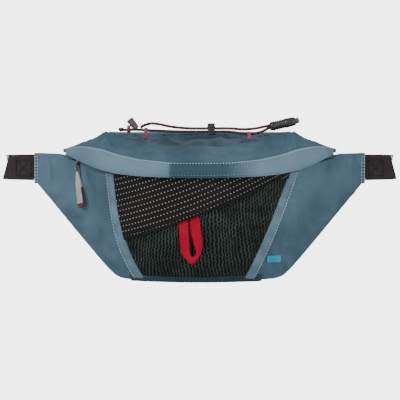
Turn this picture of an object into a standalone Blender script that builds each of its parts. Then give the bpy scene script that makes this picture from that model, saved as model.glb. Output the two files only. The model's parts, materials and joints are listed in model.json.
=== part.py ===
"""Waist pack with a zipped lid, a mesh front pocket, a bungee on the lid and a buckled belt.

Units are metres and +Z is up. The front faces -Y and +X is the right-hand side seen from there.
The origin is the centre of the back panel's flat rear face.
"""
import math

import bmesh
import bpy
from mathutils import Matrix, Vector

# ---------------------------------------------------------------- driving dimensions
GAP = 0.0003                     # clearance between touching pieces
CLOTH = 0.0020                   # body fabric with its lining

BELLY_DEPTH = 0.084              # front wall to the back panel's rear face, at the middle
PLAN_REACH = 0.168               # half width at which the plan outline has no depth left
PLAN_POWER = 1.05
FLOOR_DEPTH = 0.53               # depth of the floor as a share of the belly's
BELLY_HEIGHT = 0.6               # share of the wall's height below which it curves under
BOTTOM_Z = -0.074
LOWER_CORNER = (0.089, -0.068)   # a point on the sloping lower edge, as (x, z)
SIDE_SLOPE = 1.16                # rise of the lower edge for each unit outwards
BOTTOM_ROUNDING = 0.008

FLAT_BACK_HALF = 0.080           # the back panel is flat to here, and curves to the hips beyond
HIP_CURVE = 0.012
HIP_SPAN = 0.090
SHELL_HALF = 0.128               # half width of the hollow body
WING_END = 0.165
WING_TOP = 0.052

PAD_MESH = 0.0025                # the back panel's three layers
PAD_FOAM = 0.0040
PAD_LINING = 0.0012
PAD_TOP_DROP = 0.0032            # top of the layers below the lid's rear edge

ZIP_TILT = math.radians(8.5)     # the zip lies on an arc in a plane that falls to the front
ZIP_RADIUS = 0.160
ZIP_FRONT = (-0.082, 0.044)      # (y, z) of the zip at the middle
ZIP_LEFT = math.radians(-47.5)   # the slider's place when the zip is closed, and when open
ZIP_RIGHT = math.radians(44.0)
LID_COIL_SHORT = math.radians(2.4)     # the lid's coil stops short of both places
SHELL_COIL_OVER = math.radians(2.4)    # the body's coil runs past them
COIL_UP = 0.0017                 # coil centres above and below the zip's own plane
COIL_R = 0.0010
TAPE = 0.0008
RIM_OUT = 0.0028                 # outer face of the body's rim, outside the zip arc
RIM_DOWN = 0.0060                # top of the rim, below the zip's plane

HEM_RADIUS = 0.1690              # plan arc of the lid's hem, outer face
HEM_FRONT_Y = -0.0925
LID_HALF = 0.138
LID_HINGE = (-0.0035, 0.0745)    # (y, z) of the lid's sewn hinge line

WEBBING = 0.025
WEB_THICK = 0.0016
BELT_Z = 0.036
BUCKLE_Y = 0.0205

CORD_R = 0.0014

# Lid sections: x, rear edge y and z, front ridge y and z, hem z, height share of the hem band
LID_SECTIONS = (
    (0.000, -0.0060, 0.0738, -0.0660, 0.0635, 0.0360, 0.38),
    (0.030, -0.0060, 0.0734, -0.0645, 0.0638, 0.0362, 0.38),
    (0.060, -0.0060, 0.0730, -0.0600, 0.0690, 0.0368, 0.38),
    (0.080, -0.0060, 0.0730, -0.0545, 0.0740, 0.0382, 0.40),
    (0.094, -0.0060, 0.0735, -0.0495, 0.0775, 0.0405, 0.43),
    (0.104, -0.0070, 0.0690, -0.0450, 0.0710, 0.0430, 0.55),
    (0.115, -0.0085, 0.0640, -0.0395, 0.0655, 0.0465, 0.72),
    (0.127, -0.0100, 0.0595, -0.0320, 0.0607, 0.0510, 0.90),
    (0.138, -0.0110, 0.0565, -0.0215, 0.0572, 0.0550, 0.95),
)

# ---------------------------------------------------------------- scene and materials
for old in list(bpy.data.objects):
    bpy.data.objects.remove(old, do_unlink=True)

PARTS = bpy.data.collections.new("waist_pack")
CUTTERS = bpy.data.collections.new("cutters")
for group in (PARTS, CUTTERS):
    bpy.context.scene.collection.children.link(group)


def make_material(name, colour, roughness, metallic=0.0):
    """A Principled material from a linear colour."""
    material = bpy.data.materials.new(name)
    material.use_nodes = True
    shader = material.node_tree.nodes["Principled BSDF"]
    shader.inputs["Base Color"].default_value = (*colour, 1.0)
    shader.inputs["Roughness"].default_value = roughness
    shader.inputs["Metallic"].default_value = metallic
    return material


BODY = make_material("body_fabric", (0.072, 0.124, 0.165), 0.62)
BAND = make_material("hem_fabric", (0.155, 0.255, 0.325), 0.60)
TRIM = make_material("grosgrain_trim", (0.115, 0.175, 0.215), 0.70)
BLACK_FABRIC = make_material("dotted_fabric", (0.018, 0.017, 0.018), 0.80)
MESH = make_material("pocket_mesh", (0.020, 0.026, 0.026), 0.85)
DARK_BAND = make_material("bottom_fabric", (0.024, 0.033, 0.033), 0.75)
PAD = make_material("back_padding", (0.035, 0.036, 0.038), 0.90)
LINING = make_material("lining", (0.110, 0.115, 0.120), 0.80)
WEB = make_material("webbing", (0.038, 0.032, 0.034), 0.80)
RED = make_material("red_ribbon", (0.480, 0.010, 0.033), 0.55)
CYAN = make_material("cyan_tab", (0.050, 0.350, 0.500), 0.55)
ZIP_TAPE = make_material("zip_tape", (0.060, 0.100, 0.130), 0.75)
COIL = make_material("zip_coil", (0.030, 0.032, 0.035), 0.45)
METAL = make_material("slider_metal", (0.300, 0.300, 0.310), 0.35, 0.9)
PULL = make_material("pull_rubber", (0.380, 0.380, 0.390), 0.50)
CORD = make_material("bungee", (0.035, 0.022, 0.024), 0.70)
LOOP = make_material("cord_loops", (0.250, 0.060, 0.070), 0.65)
PLASTIC = make_material("dark_plastic", (0.045, 0.045, 0.048), 0.42)
SPRING = make_material("spring_steel", (0.500, 0.500, 0.510), 0.30, 1.0)


# ---------------------------------------------------------------- modelling helpers
def add_object(name, mesh, material, group=PARTS):
    """Link a mesh as a named object with one material."""
    piece = bpy.data.objects.new(name, mesh)
    group.objects.link(piece)
    if material:
        mesh.materials.append(material)
    return piece


def mesh_from(name, corners, faces):
    mesh = bpy.data.meshes.new(name)
    mesh.from_pydata([tuple(corner) for corner in corners], [], faces)
    mesh.update()
    return mesh


def sheet(name, grid, thickness, material, side=-1.0):
    """A fabric sheet from rows of points; side -1 thickens behind the surface and +1 in front."""
    columns = len(grid[0])
    corners = [point for row in grid for point in row]
    faces = []
    for row in range(len(grid) - 1):
        for column in range(columns - 1):
            first = row * columns + column
            faces.append((first, first + 1, first + columns + 1, first + columns))
    piece = add_object(name, mesh_from(name, corners, faces), material)
    solid = piece.modifiers.new("thickness", "SOLIDIFY")
    solid.thickness = thickness
    solid.offset = side
    solid.use_even_offset = True
    return piece


def loft(name, rings, material):
    """A closed solid through planar rings with the same number of points."""
    count = len(rings[0])
    corners = [point for ring in rings for point in ring]
    faces = [tuple(range(count - 1, -1, -1))]
    for ring in range(len(rings) - 1):
        for point in range(count):
            near = ring * count + point
            far = ring * count + (point + 1) % count
            faces.append((near, far, far + count, near + count))
    last = (len(rings) - 1) * count
    faces.append(tuple(range(last, last + count)))
    mesh = mesh_from(name, corners, faces)
    tidy = bmesh.new()
    tidy.from_mesh(mesh)
    bmesh.ops.recalc_face_normals(tidy, faces=tidy.faces)
    tidy.to_mesh(mesh)
    tidy.free()
    return add_object(name, mesh, material)


def block(name, low, high, material=None, frame=None, bevel=0.0, group=PARTS):
    """A box between two corners, given in a local frame."""
    form = bmesh.new()
    bmesh.ops.create_cube(form, size=1.0)
    low, high = Vector(low), Vector(high)
    bmesh.ops.scale(form, vec=high - low, verts=form.verts)
    bmesh.ops.translate(form, vec=(low + high) / 2, verts=form.verts)
    if bevel:
        bmesh.ops.bevel(form, geom=form.edges[:], offset=bevel, segments=2, profile=0.5,
                        affect="EDGES")
    return finish_form(form, name, material, frame, group)


def rod(name, start, end, radius, material=None, sides=16, group=PARTS, frame=None):
    """A round bar between two points."""
    start, end = Vector(start), Vector(end)
    form = bmesh.new()
    bmesh.ops.create_cone(form, cap_ends=True, segments=sides, radius1=radius, radius2=radius,
                          depth=(end - start).length)
    turn = Vector((0, 0, 1)).rotation_difference(end - start).to_matrix().to_4x4()
    bmesh.ops.transform(form, matrix=Matrix.Translation((start + end) / 2) @ turn,
                        verts=form.verts)
    return finish_form(form, name, material, frame, group)


def finish_form(form, name, material, frame, group):
    mesh = bpy.data.meshes.new(name)
    if frame is not None:
        bmesh.ops.transform(form, matrix=frame, verts=form.verts)
    form.to_mesh(mesh)
    form.free()
    piece = add_object(name, mesh, material, group)
    if group is CUTTERS:
        piece.hide_render = True
        piece.display_type = "WIRE"
    return piece


def combine(piece, tool, operation):
    """Cut a tool out of a piece, or join it on; the tool becomes a hidden guide."""
    if tool.name not in CUTTERS.objects:
        PARTS.objects.unlink(tool)
        CUTTERS.objects.link(tool)
        tool.hide_render = True
        tool.display_type = "WIRE"
    change = piece.modifiers.new(tool.name, "BOOLEAN")
    change.operation = operation
    change.solver = "EXACT"
    change.object = tool


def tube(name, points, radius, material, cyclic=False):
    """A cord or wire along points."""
    curve = bpy.data.curves.new(name, "CURVE")
    curve.dimensions = "3D"
    curve.bevel_depth = radius
    curve.bevel_resolution = 2
    curve.use_fill_caps = True
    spline = curve.splines.new("POLY")
    spline.points.add(len(points) - 1)
    for target, point in zip(spline.points, points):
        target.co = (*point, 1.0)
    spline.use_cyclic_u = cyclic
    piece = bpy.data.objects.new(name, curve)
    PARTS.objects.link(piece)
    curve.materials.append(material)
    return piece


def smooth_route(points, steps):
    """A Catmull-Rom curve through points, with its ends kept."""
    points = [Vector(point) for point in points]
    padded = [2 * points[0] - points[1]] + points + [2 * points[-1] - points[-2]]
    route = []
    for index in range(1, len(padded) - 2):
        before, here, there, after = padded[index - 1:index + 3]
        for step in range(steps):
            t = step / steps
            route.append(0.5 * (2 * here + (there - before) * t
                                + (2 * before - 5 * here + 4 * there - after) * t ** 2
                                + (3 * here - before - 3 * there + after) * t ** 3))
    route.append(points[-1])
    return route


def spread(low, high, count):
    return [low + (high - low) * step / (count - 1) for step in range(count)]


# ---------------------------------------------------------------- the body's shape
ZIP_OUT = Vector((0, -math.cos(ZIP_TILT), -math.sin(ZIP_TILT)))
ZIP_UP = Vector((0, -math.sin(ZIP_TILT), math.cos(ZIP_TILT)))
ZIP_CENTRE = Vector((0, *ZIP_FRONT)) - ZIP_OUT * ZIP_RADIUS
RIM_RADIUS = ZIP_RADIUS + RIM_OUT


def zip_point(angle, out=0.0, up=0.0):
    """A point of the zip's arc, moved outwards and up across it."""
    radius = ZIP_RADIUS + out
    return (ZIP_CENTRE + Vector((radius * math.sin(angle), 0, 0))
            + ZIP_OUT * radius * math.cos(angle) + ZIP_UP * up)


def zip_frame(angle):
    """Local axes on the zip: X along it, -Y outwards and Z up across it."""
    outwards = Vector((math.sin(angle), 0, 0)) + ZIP_OUT * math.cos(angle)
    along = outwards.cross(ZIP_UP) * -1
    axes = Matrix((along, -outwards, ZIP_UP)).transposed().to_4x4()
    return Matrix.Translation(zip_point(angle)) @ axes


def bottom_z(x):
    """Lower edge: flat in the middle, then a straight rise to the hips."""
    slope = LOWER_CORNER[1] + SIDE_SLOPE * (abs(x) - LOWER_CORNER[0])
    return 0.5 * (BOTTOM_Z + slope + math.hypot(slope - BOTTOM_Z, BOTTOM_ROUNDING))


def back_y(x):
    """Rear face of the back panel, curving round the hips."""
    return HIP_CURVE * (max(0.0, abs(x) - FLAT_BACK_HALF) / HIP_SPAN) ** 2


def rim(x):
    """(y, z) of the body's upper edge: the zip's rim, then the top of the wing."""
    side = min(abs(x), SHELL_HALF)
    point = zip_point(math.asin(side / RIM_RADIUS), RIM_OUT, -RIM_DOWN)
    along = max(0.0, abs(x) - SHELL_HALF) / (WING_END - SHELL_HALF)
    rise = math.sin(min(1.0, along * 2.5) * math.pi / 2)
    return point.y * (1 - along) ** 1.2, point.z + (WING_TOP - point.z) * rise


def skin(x, z):
    """Front surface of the body and the wings."""
    deepest = BELLY_DEPTH * max(0.0, math.cos(math.pi / 2 * abs(x) / PLAN_REACH)) ** PLAN_POWER
    low = bottom_z(x)
    edge_y, edge_z = rim(x)
    height = min(1.0, max(0.0, (z - low) / (edge_z - low)))
    under = 1 - min(1.0, height / BELLY_HEIGHT)
    depth = deepest * (FLOOR_DEPTH + (1 - FLOOR_DEPTH) * (1 - under ** 2) ** 0.6)
    above = max(0.0, height - BELLY_HEIGHT) / (1 - BELLY_HEIGHT)
    return -(depth + (-edge_y - deepest) * above ** 2)


def on_skin(x, z, lift=0.0):
    """A point above the front surface."""
    step = 0.002
    across = Vector((2 * step, skin(x + step, z) - skin(x - step, z), 0))
    up = Vector((0, skin(x, z + step) - skin(x, z - step), 2 * step))
    return Vector((x, skin(x, z), z)) + across.cross(up).normalized() * lift


def patch(name, left, right, low, high, lift, thickness, material, columns=9, rows=8):
    """A piece sewn on the front: left(t) and right(t) give x, low(x) and high(x) give z."""
    grid = []
    for upward in spread(0.0, 1.0, rows):
        row = []
        for across in spread(0.0, 1.0, columns):
            x = left(upward) + (right(upward) - left(upward)) * across
            z = low(x) + (high(x) - low(x)) * upward
            row.append(on_skin(x, z, lift))
        grid.append(row)
    return sheet(name, grid, thickness, material, side=1.0)


# ---------------------------------------------------------------- back panel, shell and wings
def back_layer(name, front_offset, thickness, material):
    """One layer of the back panel, thickened to the front from its rear face."""
    half = SHELL_HALF - 0.0015
    stations = spread(half, -half, 25)
    rows = []
    for share in (0.0, 0.5, 1.0):
        row = []
        for x in stations:
            low = bottom_z(x) + 0.001
            high = lid_values(x)[1] - PAD_TOP_DROP
            row.append(Vector((x, back_y(x) - front_offset, low + (high - low) * share)))
        rows.append(row)
    return sheet(name, rows, thickness, material)


def lid_values(x):
    """The lid's section at x, read smoothly from its table without the x column."""
    side = min(abs(x), LID_SECTIONS[-1][0])
    for near, far in zip(LID_SECTIONS, LID_SECTIONS[1:]):
        if side <= far[0]:
            break
    share = (side - near[0]) / (far[0] - near[0])
    return [a + (b - a) * share for a, b in zip(near[1:], far[1:])]


def lid_values_at(x):
    """Rear edge, ridge and hem points with the hem band's share of the flap."""
    rear_y, rear_z, ridge_y, ridge_z, hem_z, band = lid_values(x)
    hem_y = HEM_FRONT_Y + HEM_RADIUS - math.sqrt(HEM_RADIUS ** 2 - x ** 2)
    return (Vector((x, rear_y, rear_z)), Vector((x, ridge_y, ridge_z)),
            Vector((x, hem_y, hem_z)), band)


FLAP_SHOULDER = 0.72             # share of its height up to which the flap hangs straight
TOP_CROWN = 0.0015


def flap_point(x, share):
    """The lid's front: 0 at the hem, 1 at the ridge, upright first and then leaning back."""
    _, ridge, hem, _ = lid_values_at(x)
    shoulder = Vector((x, hem.y + 0.001, hem.z + FLAP_SHOULDER * (ridge.z - hem.z)))
    return (hem * (1 - share) ** 2 + shoulder * 2 * share * (1 - share) + ridge * share ** 2)


def lid_top_point(x, share):
    """The lid's top: 0 at the ridge, 1 at the rear edge, with a low crown."""
    rear, ridge, _, _ = lid_values_at(x)
    chord = rear - ridge
    crown = TOP_CROWN * min(1.0, chord.length / 0.04)
    return ridge + chord * share + Vector((0, 0, crown)) * 4 * share * (1 - share)


def lid_z(x, y):
    """Height of the lid's top panel over a point."""
    rear, ridge, _, _ = lid_values_at(x)
    share = min(1.0, max(0.0, (y - ridge.y) / (rear.y - ridge.y)))
    return lid_top_point(x, share).z


def build_back():
    foam_at = PAD_MESH + GAP
    lining_at = foam_at + PAD_FOAM + GAP
    back_layer("back_pad_mesh", 0.0, PAD_MESH, PAD)
    back_layer("back_foam", foam_at, PAD_FOAM, PAD)
    back_layer("back_lining", lining_at, PAD_LINING, LINING)
    piping = [(x, LID_HINGE[0], lid_values(x)[1] - 0.0006) for x in spread(-0.092, 0.092, 13)]
    tube("top_piping", piping, 0.0012, TRIM)
    pocket = [[Vector((x, -lining_at - PAD_LINING - GAP, z)) for x in (0.055, -0.055)]
              for z in (-0.060, 0.020)]
    sheet("inner_pocket", pocket, 0.0008, LINING)


def build_shell():
    """Front wall and floor in one folded sheet, open at the top and against the back panel."""
    rear = PAD_MESH + PAD_FOAM + PAD_LINING + 3 * GAP
    rows = []
    heights = (0.0, 0.03, 0.09, 0.18, 0.30, 0.45, 0.62, 0.76, 0.88, 1.0)
    stations = spread(-SHELL_HALF, SHELL_HALF, 27)
    rows.append([Vector((x, back_y(x) - rear, bottom_z(x))) for x in stations])
    for height in heights:
        row = []
        for x in stations:
            low = bottom_z(x)
            z = low + (rim(x)[1] - low) * height
            row.append(Vector((x, skin(x, z), z)))
        rows.append(row)
    sheet("main_shell", rows, CLOTH, BODY)


def build_wing(name, side):
    rings = []
    for x in (SHELL_HALF + GAP, 0.136, 0.144, 0.152, 0.159, WING_END):
        low, (_, high) = bottom_z(x), rim(x)
        front = [Vector((side * x, skin(x, z), z)) for z in spread(low, high, 9)]
        rear = [Vector((side * x, back_y(x), high)), Vector((side * x, back_y(x), low))]
        rings.append(front + rear)
    loft(name, rings, BODY)


def build_binding(name, side):
    """Folded tape over the wing's end, with the slot that the webbing comes out of."""
    inner, outer = WING_END + GAP, WING_END + 0.0035
    low = (min(side * inner, side * outer), -0.0030, bottom_z(WING_END))
    high = (max(side * inner, side * outer), 0.0125, WING_TOP)
    piece = block(name, low, high, BODY, bevel=0.0008)
    middle = side * (inner + outer) / 2
    slot = block(name + "_slot", (middle - 0.01, 0.0040, BELT_Z - 0.0130),
                 (middle + 0.01, 0.0070, BELT_Z + 0.0130), group=CUTTERS)
    combine(piece, slot, "DIFFERENCE")


# ---------------------------------------------------------------- front pocket and its trims
POCKET_TOP = 0.0322
POCKET_BOTTOM = -0.0665
TRIM_WIDTH = (0.0085, 0.0100)    # at the top and the bottom


def left_edge(down):
    """x of the pocket's left edge, from 0 at the top to 1 at the bottom."""
    return -0.0835 + 0.010 * down + 0.017 * down ** 3


def right_edge(down):
    return 0.0865 - 0.034 * down - 0.007 * down ** 2


def depth_share(z):
    return (POCKET_TOP - z) / (POCKET_TOP - POCKET_BOTTOM)


def diagonal_z(x):
    """The mouth of the mesh pocket, rising from left to right."""
    return -0.0018 + 0.40 * x + 0.6 * x ** 2


def build_pocket():
    overlap = 0.006

    def between(left_at, right_at, low, high, name, lift, thickness, material):
        grid = []
        for upward in spread(0.0, 1.0, 9):
            row = []
            for across in spread(0.0, 1.0, 13):
                x = left_at(0.5) + (right_at(0.5) - left_at(0.5)) * across
                for _ in range(6):
                    z = low(x) + (high(x) - low(x)) * upward
                    share = depth_share(z)
                    x = left_at(share) + (right_at(share) - left_at(share)) * across
                row.append(on_skin(x, z, lift))
            grid.append(row)
        return sheet(name, grid, thickness, material, side=1.0)

    between(left_edge, right_edge, lambda x: POCKET_BOTTOM,
            lambda x: min(POCKET_TOP, diagonal_z(x) + overlap),
            "mesh_pocket", 0.0009, 0.0008, MESH)
    between(left_edge, right_edge, lambda x: min(POCKET_TOP - 0.002, diagonal_z(x)),
            lambda x: POCKET_TOP, "dotted_panel", 0.0020, 0.0006, BLACK_FABRIC)
    for name, edge, side in (("trim_left", left_edge, -1), ("trim_right", right_edge, 1)):
        grid = []
        for upward in spread(0.0, 1.0, 15):
            z = bottom_z(0) + 0.0075 + (POCKET_TOP - bottom_z(0) - 0.0075) * upward
            share = depth_share(z)
            width = TRIM_WIDTH[0] + (TRIM_WIDTH[1] - TRIM_WIDTH[0]) * share
            inner = edge(share) + side * 0.0006
            ends = sorted((inner, inner + side * width))
            grid.append([on_skin(x, z, 0.0006) for x in spread(ends[0], ends[1], 3)])
        sheet(name, grid, 0.0016, TRIM, side=1.0)
    patch("bottom_band", lambda t: -0.067, lambda t: 0.060,
          lambda x: bottom_z(x) + 0.0006, lambda x: POCKET_BOTTOM - 0.0006,
          0.0007, 0.0010, DARK_BAND, columns=13, rows=3)


LOOP_TOP = Vector((-0.0100, -0.0880, -0.0070))     # where the ribbon comes out under the edge
LOOP_END = Vector((-0.0070, -0.0800, -0.0520))


def build_pull_loop():
    """Red ribbon loop: two legs side by side that meet in a rounded end, hanging from one edge."""
    outer = ((-0.0092, 0.0), (-0.0088, -0.012), (-0.0076, -0.028), (-0.0050, -0.041),
             (-0.0010, -0.0455), (0.0035, -0.042), (0.0072, -0.030), (0.0090, -0.012), (0.0086, 0.0))
    slit = ((0.0, -0.004), (0.0012, -0.020), (0.0008, -0.031), (0.0, -0.034), (-0.0008, -0.031),
            (-0.0010, -0.020))
    curve = bpy.data.curves.new("red_pull_loop", "CURVE")
    curve.dimensions = "2D"
    curve.fill_mode = "BOTH"
    curve.extrude = 0.0005
    for outline in (outer, slit):
        spline = curve.splines.new("POLY")
        spline.points.add(len(outline) - 1)
        for target, (across, down) in zip(spline.points, outline):
            target.co = (across, down, 0, 1)
        spline.use_cyclic_u = True
    ribbon = bpy.data.objects.new("red_pull_loop", curve)
    PARTS.objects.link(ribbon)
    curve.materials.append(RED)
    rise = (LOOP_TOP - LOOP_END).normalized()
    outward = Vector((1, 0, 0)).cross(rise).normalized()
    axes = Matrix((rise.cross(outward), rise, outward)).transposed().to_4x4()
    ribbon.matrix_world = Matrix.Translation(LOOP_TOP) @ axes


def build_side_tab():
    """A small plain woven tab on the right-hand side panel."""
    patch("side_tab", lambda t: 0.0660, lambda t: 0.0800, lambda x: -0.0520, lambda x: -0.0450,
          GAP, 0.0008, CYAN, columns=4, rows=3)


# ---------------------------------------------------------------- zip
SLIDER_LENGTH = 0.011
SLIDER_WIDTH = 0.0068
EYE_DOWN = -0.0092               # the pull's hinge in the slider's frame
EYE_OUT = 0.0070
PULL_LENGTH = 0.043
PULL_THICK = 0.0018
PULL_TIP = Vector((-0.1185, -0.0425, 0.0040))     # tip of the hanging pull


def arc_band(name, ends, low, high, out, thickness, material, flare=0.0, steps=33):
    """A tape along the zip's arc, between two heights across it."""
    grid = []
    for share, height in ((0.0, low), (1.0, high)):
        grid.append([zip_point(angle, out + flare * share, height)
                     for angle in spread(*ends, steps)])
    return sheet(name, grid, thickness, material)


def build_zip():
    half = TAPE / 2
    edge = COIL_UP + COIL_R + GAP
    shell_ends = (ZIP_LEFT - SHELL_COIL_OVER, ZIP_RIGHT + SHELL_COIL_OVER)
    lid_ends = (ZIP_LEFT + LID_COIL_SHORT, ZIP_RIGHT - LID_COIL_SHORT)
    arc_band("zip_tape_lower", shell_ends, -0.0120, -edge, half, TAPE, ZIP_TAPE)
    arc_band("zip_tape_upper", lid_ends, edge + GAP, 0.0090, half, TAPE, ZIP_TAPE, flare=-0.0046)
    for name, ends, side in (("zip_coil_lower", shell_ends, -1), ("zip_coil_upper", lid_ends, 1)):
        tube(name, [zip_point(angle, 0, side * COIL_UP) for angle in spread(*ends, 41)],
             COIL_R, COIL)
    for name, end, side in (("zip_stop_left", shell_ends[0], -1),
                            ("zip_stop_right", shell_ends[1], 1)):
        frame = zip_frame(end + side * 0.012)
        block(name, (-0.0012, -0.0016, -0.0032), (0.0012, 0.0016, 0.0032), METAL, frame, 0.0004)


def build_slider():
    """Slider body: an outer and an inner plate joined by a web, and an eye below the hem."""
    frame = zip_frame(ZIP_LEFT)
    half = SLIDER_LENGTH / 2
    wide = SLIDER_WIDTH / 2
    body = block("zip_slider", (-half, -0.0027, -wide), (half, -0.0015, wide), METAL, frame)
    inner = block("slider_inner_plate", (-half, 0.0015, -wide), (half, 0.0027, wide),
                  frame=frame, group=CUTTERS)
    web = block("slider_web", (-0.0030, -0.0020, -0.0004), (0.0030, 0.0020, 0.0004),
                frame=frame, group=CUTTERS)
    neck = block("slider_neck", (-0.0014, -0.0053, -0.0015), (0.0014, -0.0020, 0.0006),
                 frame=frame, group=CUTTERS)
    nose = block("slider_nose", (-0.0012, -0.0063, -0.0080), (0.0012, -0.0042, 0.0003),
                 frame=frame, group=CUTTERS)
    eye = block("slider_eye", (-0.0013, -EYE_OUT - 0.0015, EYE_DOWN - 0.0015),
                (0.0013, -0.0055, EYE_DOWN + 0.0024), frame=frame, group=CUTTERS)
    hole = rod("slider_hole", (-0.004, -EYE_OUT, EYE_DOWN), (0.004, -EYE_OUT, EYE_DOWN), 0.0009,
               sides=12, group=CUTTERS, frame=frame)
    for tool in (inner, web, neck, nose, eye):
        combine(body, tool, "UNION")
    combine(body, hole, "DIFFERENCE")


def build_pull():
    """Rubber pull on a pin through the slider's eye, hanging against the side panel."""
    frame = zip_frame(ZIP_LEFT)
    hinge = frame @ Vector((0, -EYE_OUT, EYE_DOWN))
    pin_axis = (frame.to_3x3() @ Vector((1, 0, 0))).normalized()
    hang = (PULL_TIP - hinge).normalized()
    across = (pin_axis - hang * pin_axis.dot(hang)).normalized()
    outward = hang.cross(across).normalized()
    axes = Matrix((across, outward, -hang)).transposed().to_4x4()
    local = Matrix.Translation(hinge) @ axes
    half = PULL_THICK / 2
    curve_points = [(-0.0022, -0.006), (-0.0024, -0.0120), (-0.0040, -0.0150), (-0.0046, -0.0250),
                    (-0.0048, -0.0390), (-0.0040, -0.0420), (-0.0015, -PULL_LENGTH)]
    outline = curve_points + [(-across_at, down) for across_at, down in reversed(curve_points)]
    form = bmesh.new()
    near = [form.verts.new((across_at, -half, down)) for across_at, down in outline]
    face = form.faces.new(near)
    grown = bmesh.ops.extrude_face_region(form, geom=[face])
    moved = [item for item in grown["geom"] if isinstance(item, bmesh.types.BMVert)]
    bmesh.ops.translate(form, vec=(0, PULL_THICK, 0), verts=moved)
    bmesh.ops.recalc_face_normals(form, faces=form.faces)
    pull = finish_form(form, "zip_pull", PULL, local, PARTS)
    for side in (-1, 1):
        edges = sorted((side * 0.0025, side * 0.0036))
        arm = block(f"pull_arm_{side}", (edges[0], -half * 0.9, -0.0080),
                    (edges[1], half * 0.9, 0.0008), frame=local, group=CUTTERS)
        combine(pull, arm, "UNION")
    bridge = block("pull_bridge", (-0.0035, -half * 0.95, -0.0085), (0.0035, half * 0.95, -0.0050),
                   frame=local, group=CUTTERS)
    combine(pull, bridge, "UNION")
    pin = rod("pull_pin", hinge - pin_axis * 0.0035, hinge + pin_axis * 0.0035, 0.0006, sides=10,
              group=CUTTERS)
    combine(pull, pin, "UNION")
    return hinge


# ---------------------------------------------------------------- lid
def build_lid():
    stations = sorted({x * side for x in (0.0, 0.012, 0.030, 0.045, 0.060, 0.070, 0.080, 0.088, 0.094,
                                          0.099, 0.104, 0.115, 0.121, 0.127, 0.133, LID_HALF)
                       for side in (-1, 1)})
    rows = [[flap_point(x, share) for x in stations] for share in (0.0, 0.2, 0.4, 0.6, 0.8)]
    rows += [[lid_top_point(x, share) for x in stations] for share in (0.0, 0.25, 0.5, 0.75, 1.0)]
    sheet("lid_shell", rows, CLOTH, BODY)
    band = []
    for share in (0.0, 0.33, 0.67, 1.0):
        row = []
        for x in stations:
            here = share * lid_values(x)[-1]
            up = flap_point(x, here + 0.01) - flap_point(x, here)
            across = flap_point(x + 0.001, here) - flap_point(x - 0.001, here)
            row.append(flap_point(x, here) + across.cross(up).normalized() * GAP)
        band.append(row)
    sheet("lid_hem_band", [row[1:-1] for row in band], 0.0010, BAND, side=1.0)


# ---------------------------------------------------------------- bungee on the lid
STRAND_Y = -0.0300
UPPER_Z = 0.0790
LOWER_Z = 0.0758
TAG_START = Vector((-0.0625, -0.0448, 0.0797))
TAG_END = Vector((-0.0700, -0.0440, 0.0893))
LOCK_START = Vector((0.0698, -0.0368, 0.0810))
LOCK_END = Vector((0.0955, -0.0345, 0.0868))
LOCK_R = 0.0047
PLUNGER_R = 0.0030
PLUNGER_OUT = 0.0038
SLIDER_X = 0.0115                # middle of the cord slider

UPPER_ROUTE = ((-0.0588, -0.0452, 0.0808), (-0.0550, -0.0455, 0.0832), (-0.0480, -0.0450, 0.0850),
               (-0.0390, -0.0425, 0.0838), (-0.0290, -0.0380, 0.0814), (-0.0180, -0.0325, 0.0797),
               (-0.0070, STRAND_Y, UPPER_Z), (0.0120, STRAND_Y, UPPER_Z),
               (0.0300, STRAND_Y, UPPER_Z), (0.0420, -0.0315, 0.0782), (0.0540, -0.0335, 0.0790),
               (0.0620, -0.0352, 0.0806), (0.0685, -0.0366, 0.0825))
LOWER_ROUTE = ((-0.0760, -0.0215, 0.0770), (-0.0720, -0.0240, 0.0771), (-0.0680, -0.0280, 0.0776),
               (-0.0620, -0.0330, 0.0779), (-0.0535, -0.0380, 0.0778), (-0.0430, -0.0375, 0.0773),
               (-0.0310, -0.0348, 0.0766), (-0.0180, -0.0315, 0.0760), (-0.0070, STRAND_Y, LOWER_Z),
               (0.0120, STRAND_Y, LOWER_Z), (0.0280, STRAND_Y, LOWER_Z), (0.0360, -0.0330, 0.0752),
               (0.0430, -0.0380, 0.0744), (0.0490, -0.0410, 0.0742), (0.0550, -0.0403, 0.0748),
               (0.0610, -0.0385, 0.0762), (0.0655, -0.0372, 0.0778), (0.0688, -0.0368, 0.0790))


def build_cord_loop(name, x, foot, head, half=0.0022):
    """A ribbon loop round the cord, from its foot on the lid's seam to its head."""
    foot, head = Vector((x, *foot)), Vector((x, *head))
    rise = (head - foot).normalized()
    out = Vector((1, 0, 0)).cross(rise)
    arcs = []
    for centre, start in ((head, 0.0), (foot, math.pi)):
        for step in range(7):
            angle = start + math.pi * step / 6
            arcs.append(centre + (out * math.cos(angle) + rise * math.sin(angle)) * half)
    tube(name, arcs, 0.0006, LOOP, cyclic=True)


def build_bungee():
    tube("bungee_upper", smooth_route(UPPER_ROUTE, 4), CORD_R, CORD)
    tube("bungee_lower", smooth_route(LOWER_ROUTE, 3), CORD_R, CORD)
    knot_r = 0.0025
    knot = bmesh.new()
    bmesh.ops.create_uvsphere(knot, u_segments=12, v_segments=8, radius=knot_r)
    place = Matrix.Translation((-0.0790, -0.0198, 0.0772))
    finish_form(knot, "bungee_knot", CORD, place, PARTS)
    build_cord_loop("cord_loop_front_left", -0.0535, (-0.0570, 0.0722), (-0.0380, 0.0779))
    build_cord_loop("cord_loop_front_right", 0.0490, (-0.0580, 0.0718), (-0.0410, 0.0744))
    build_cord_loop("cord_loop_rear_left", -0.0712, (-0.0247, 0.0780), (-0.0247, 0.0782),
                    half=0.0034)
    rod("cord_end_tag", TAG_START, TAG_END, 0.0030, PLASTIC, sides=14)


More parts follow.
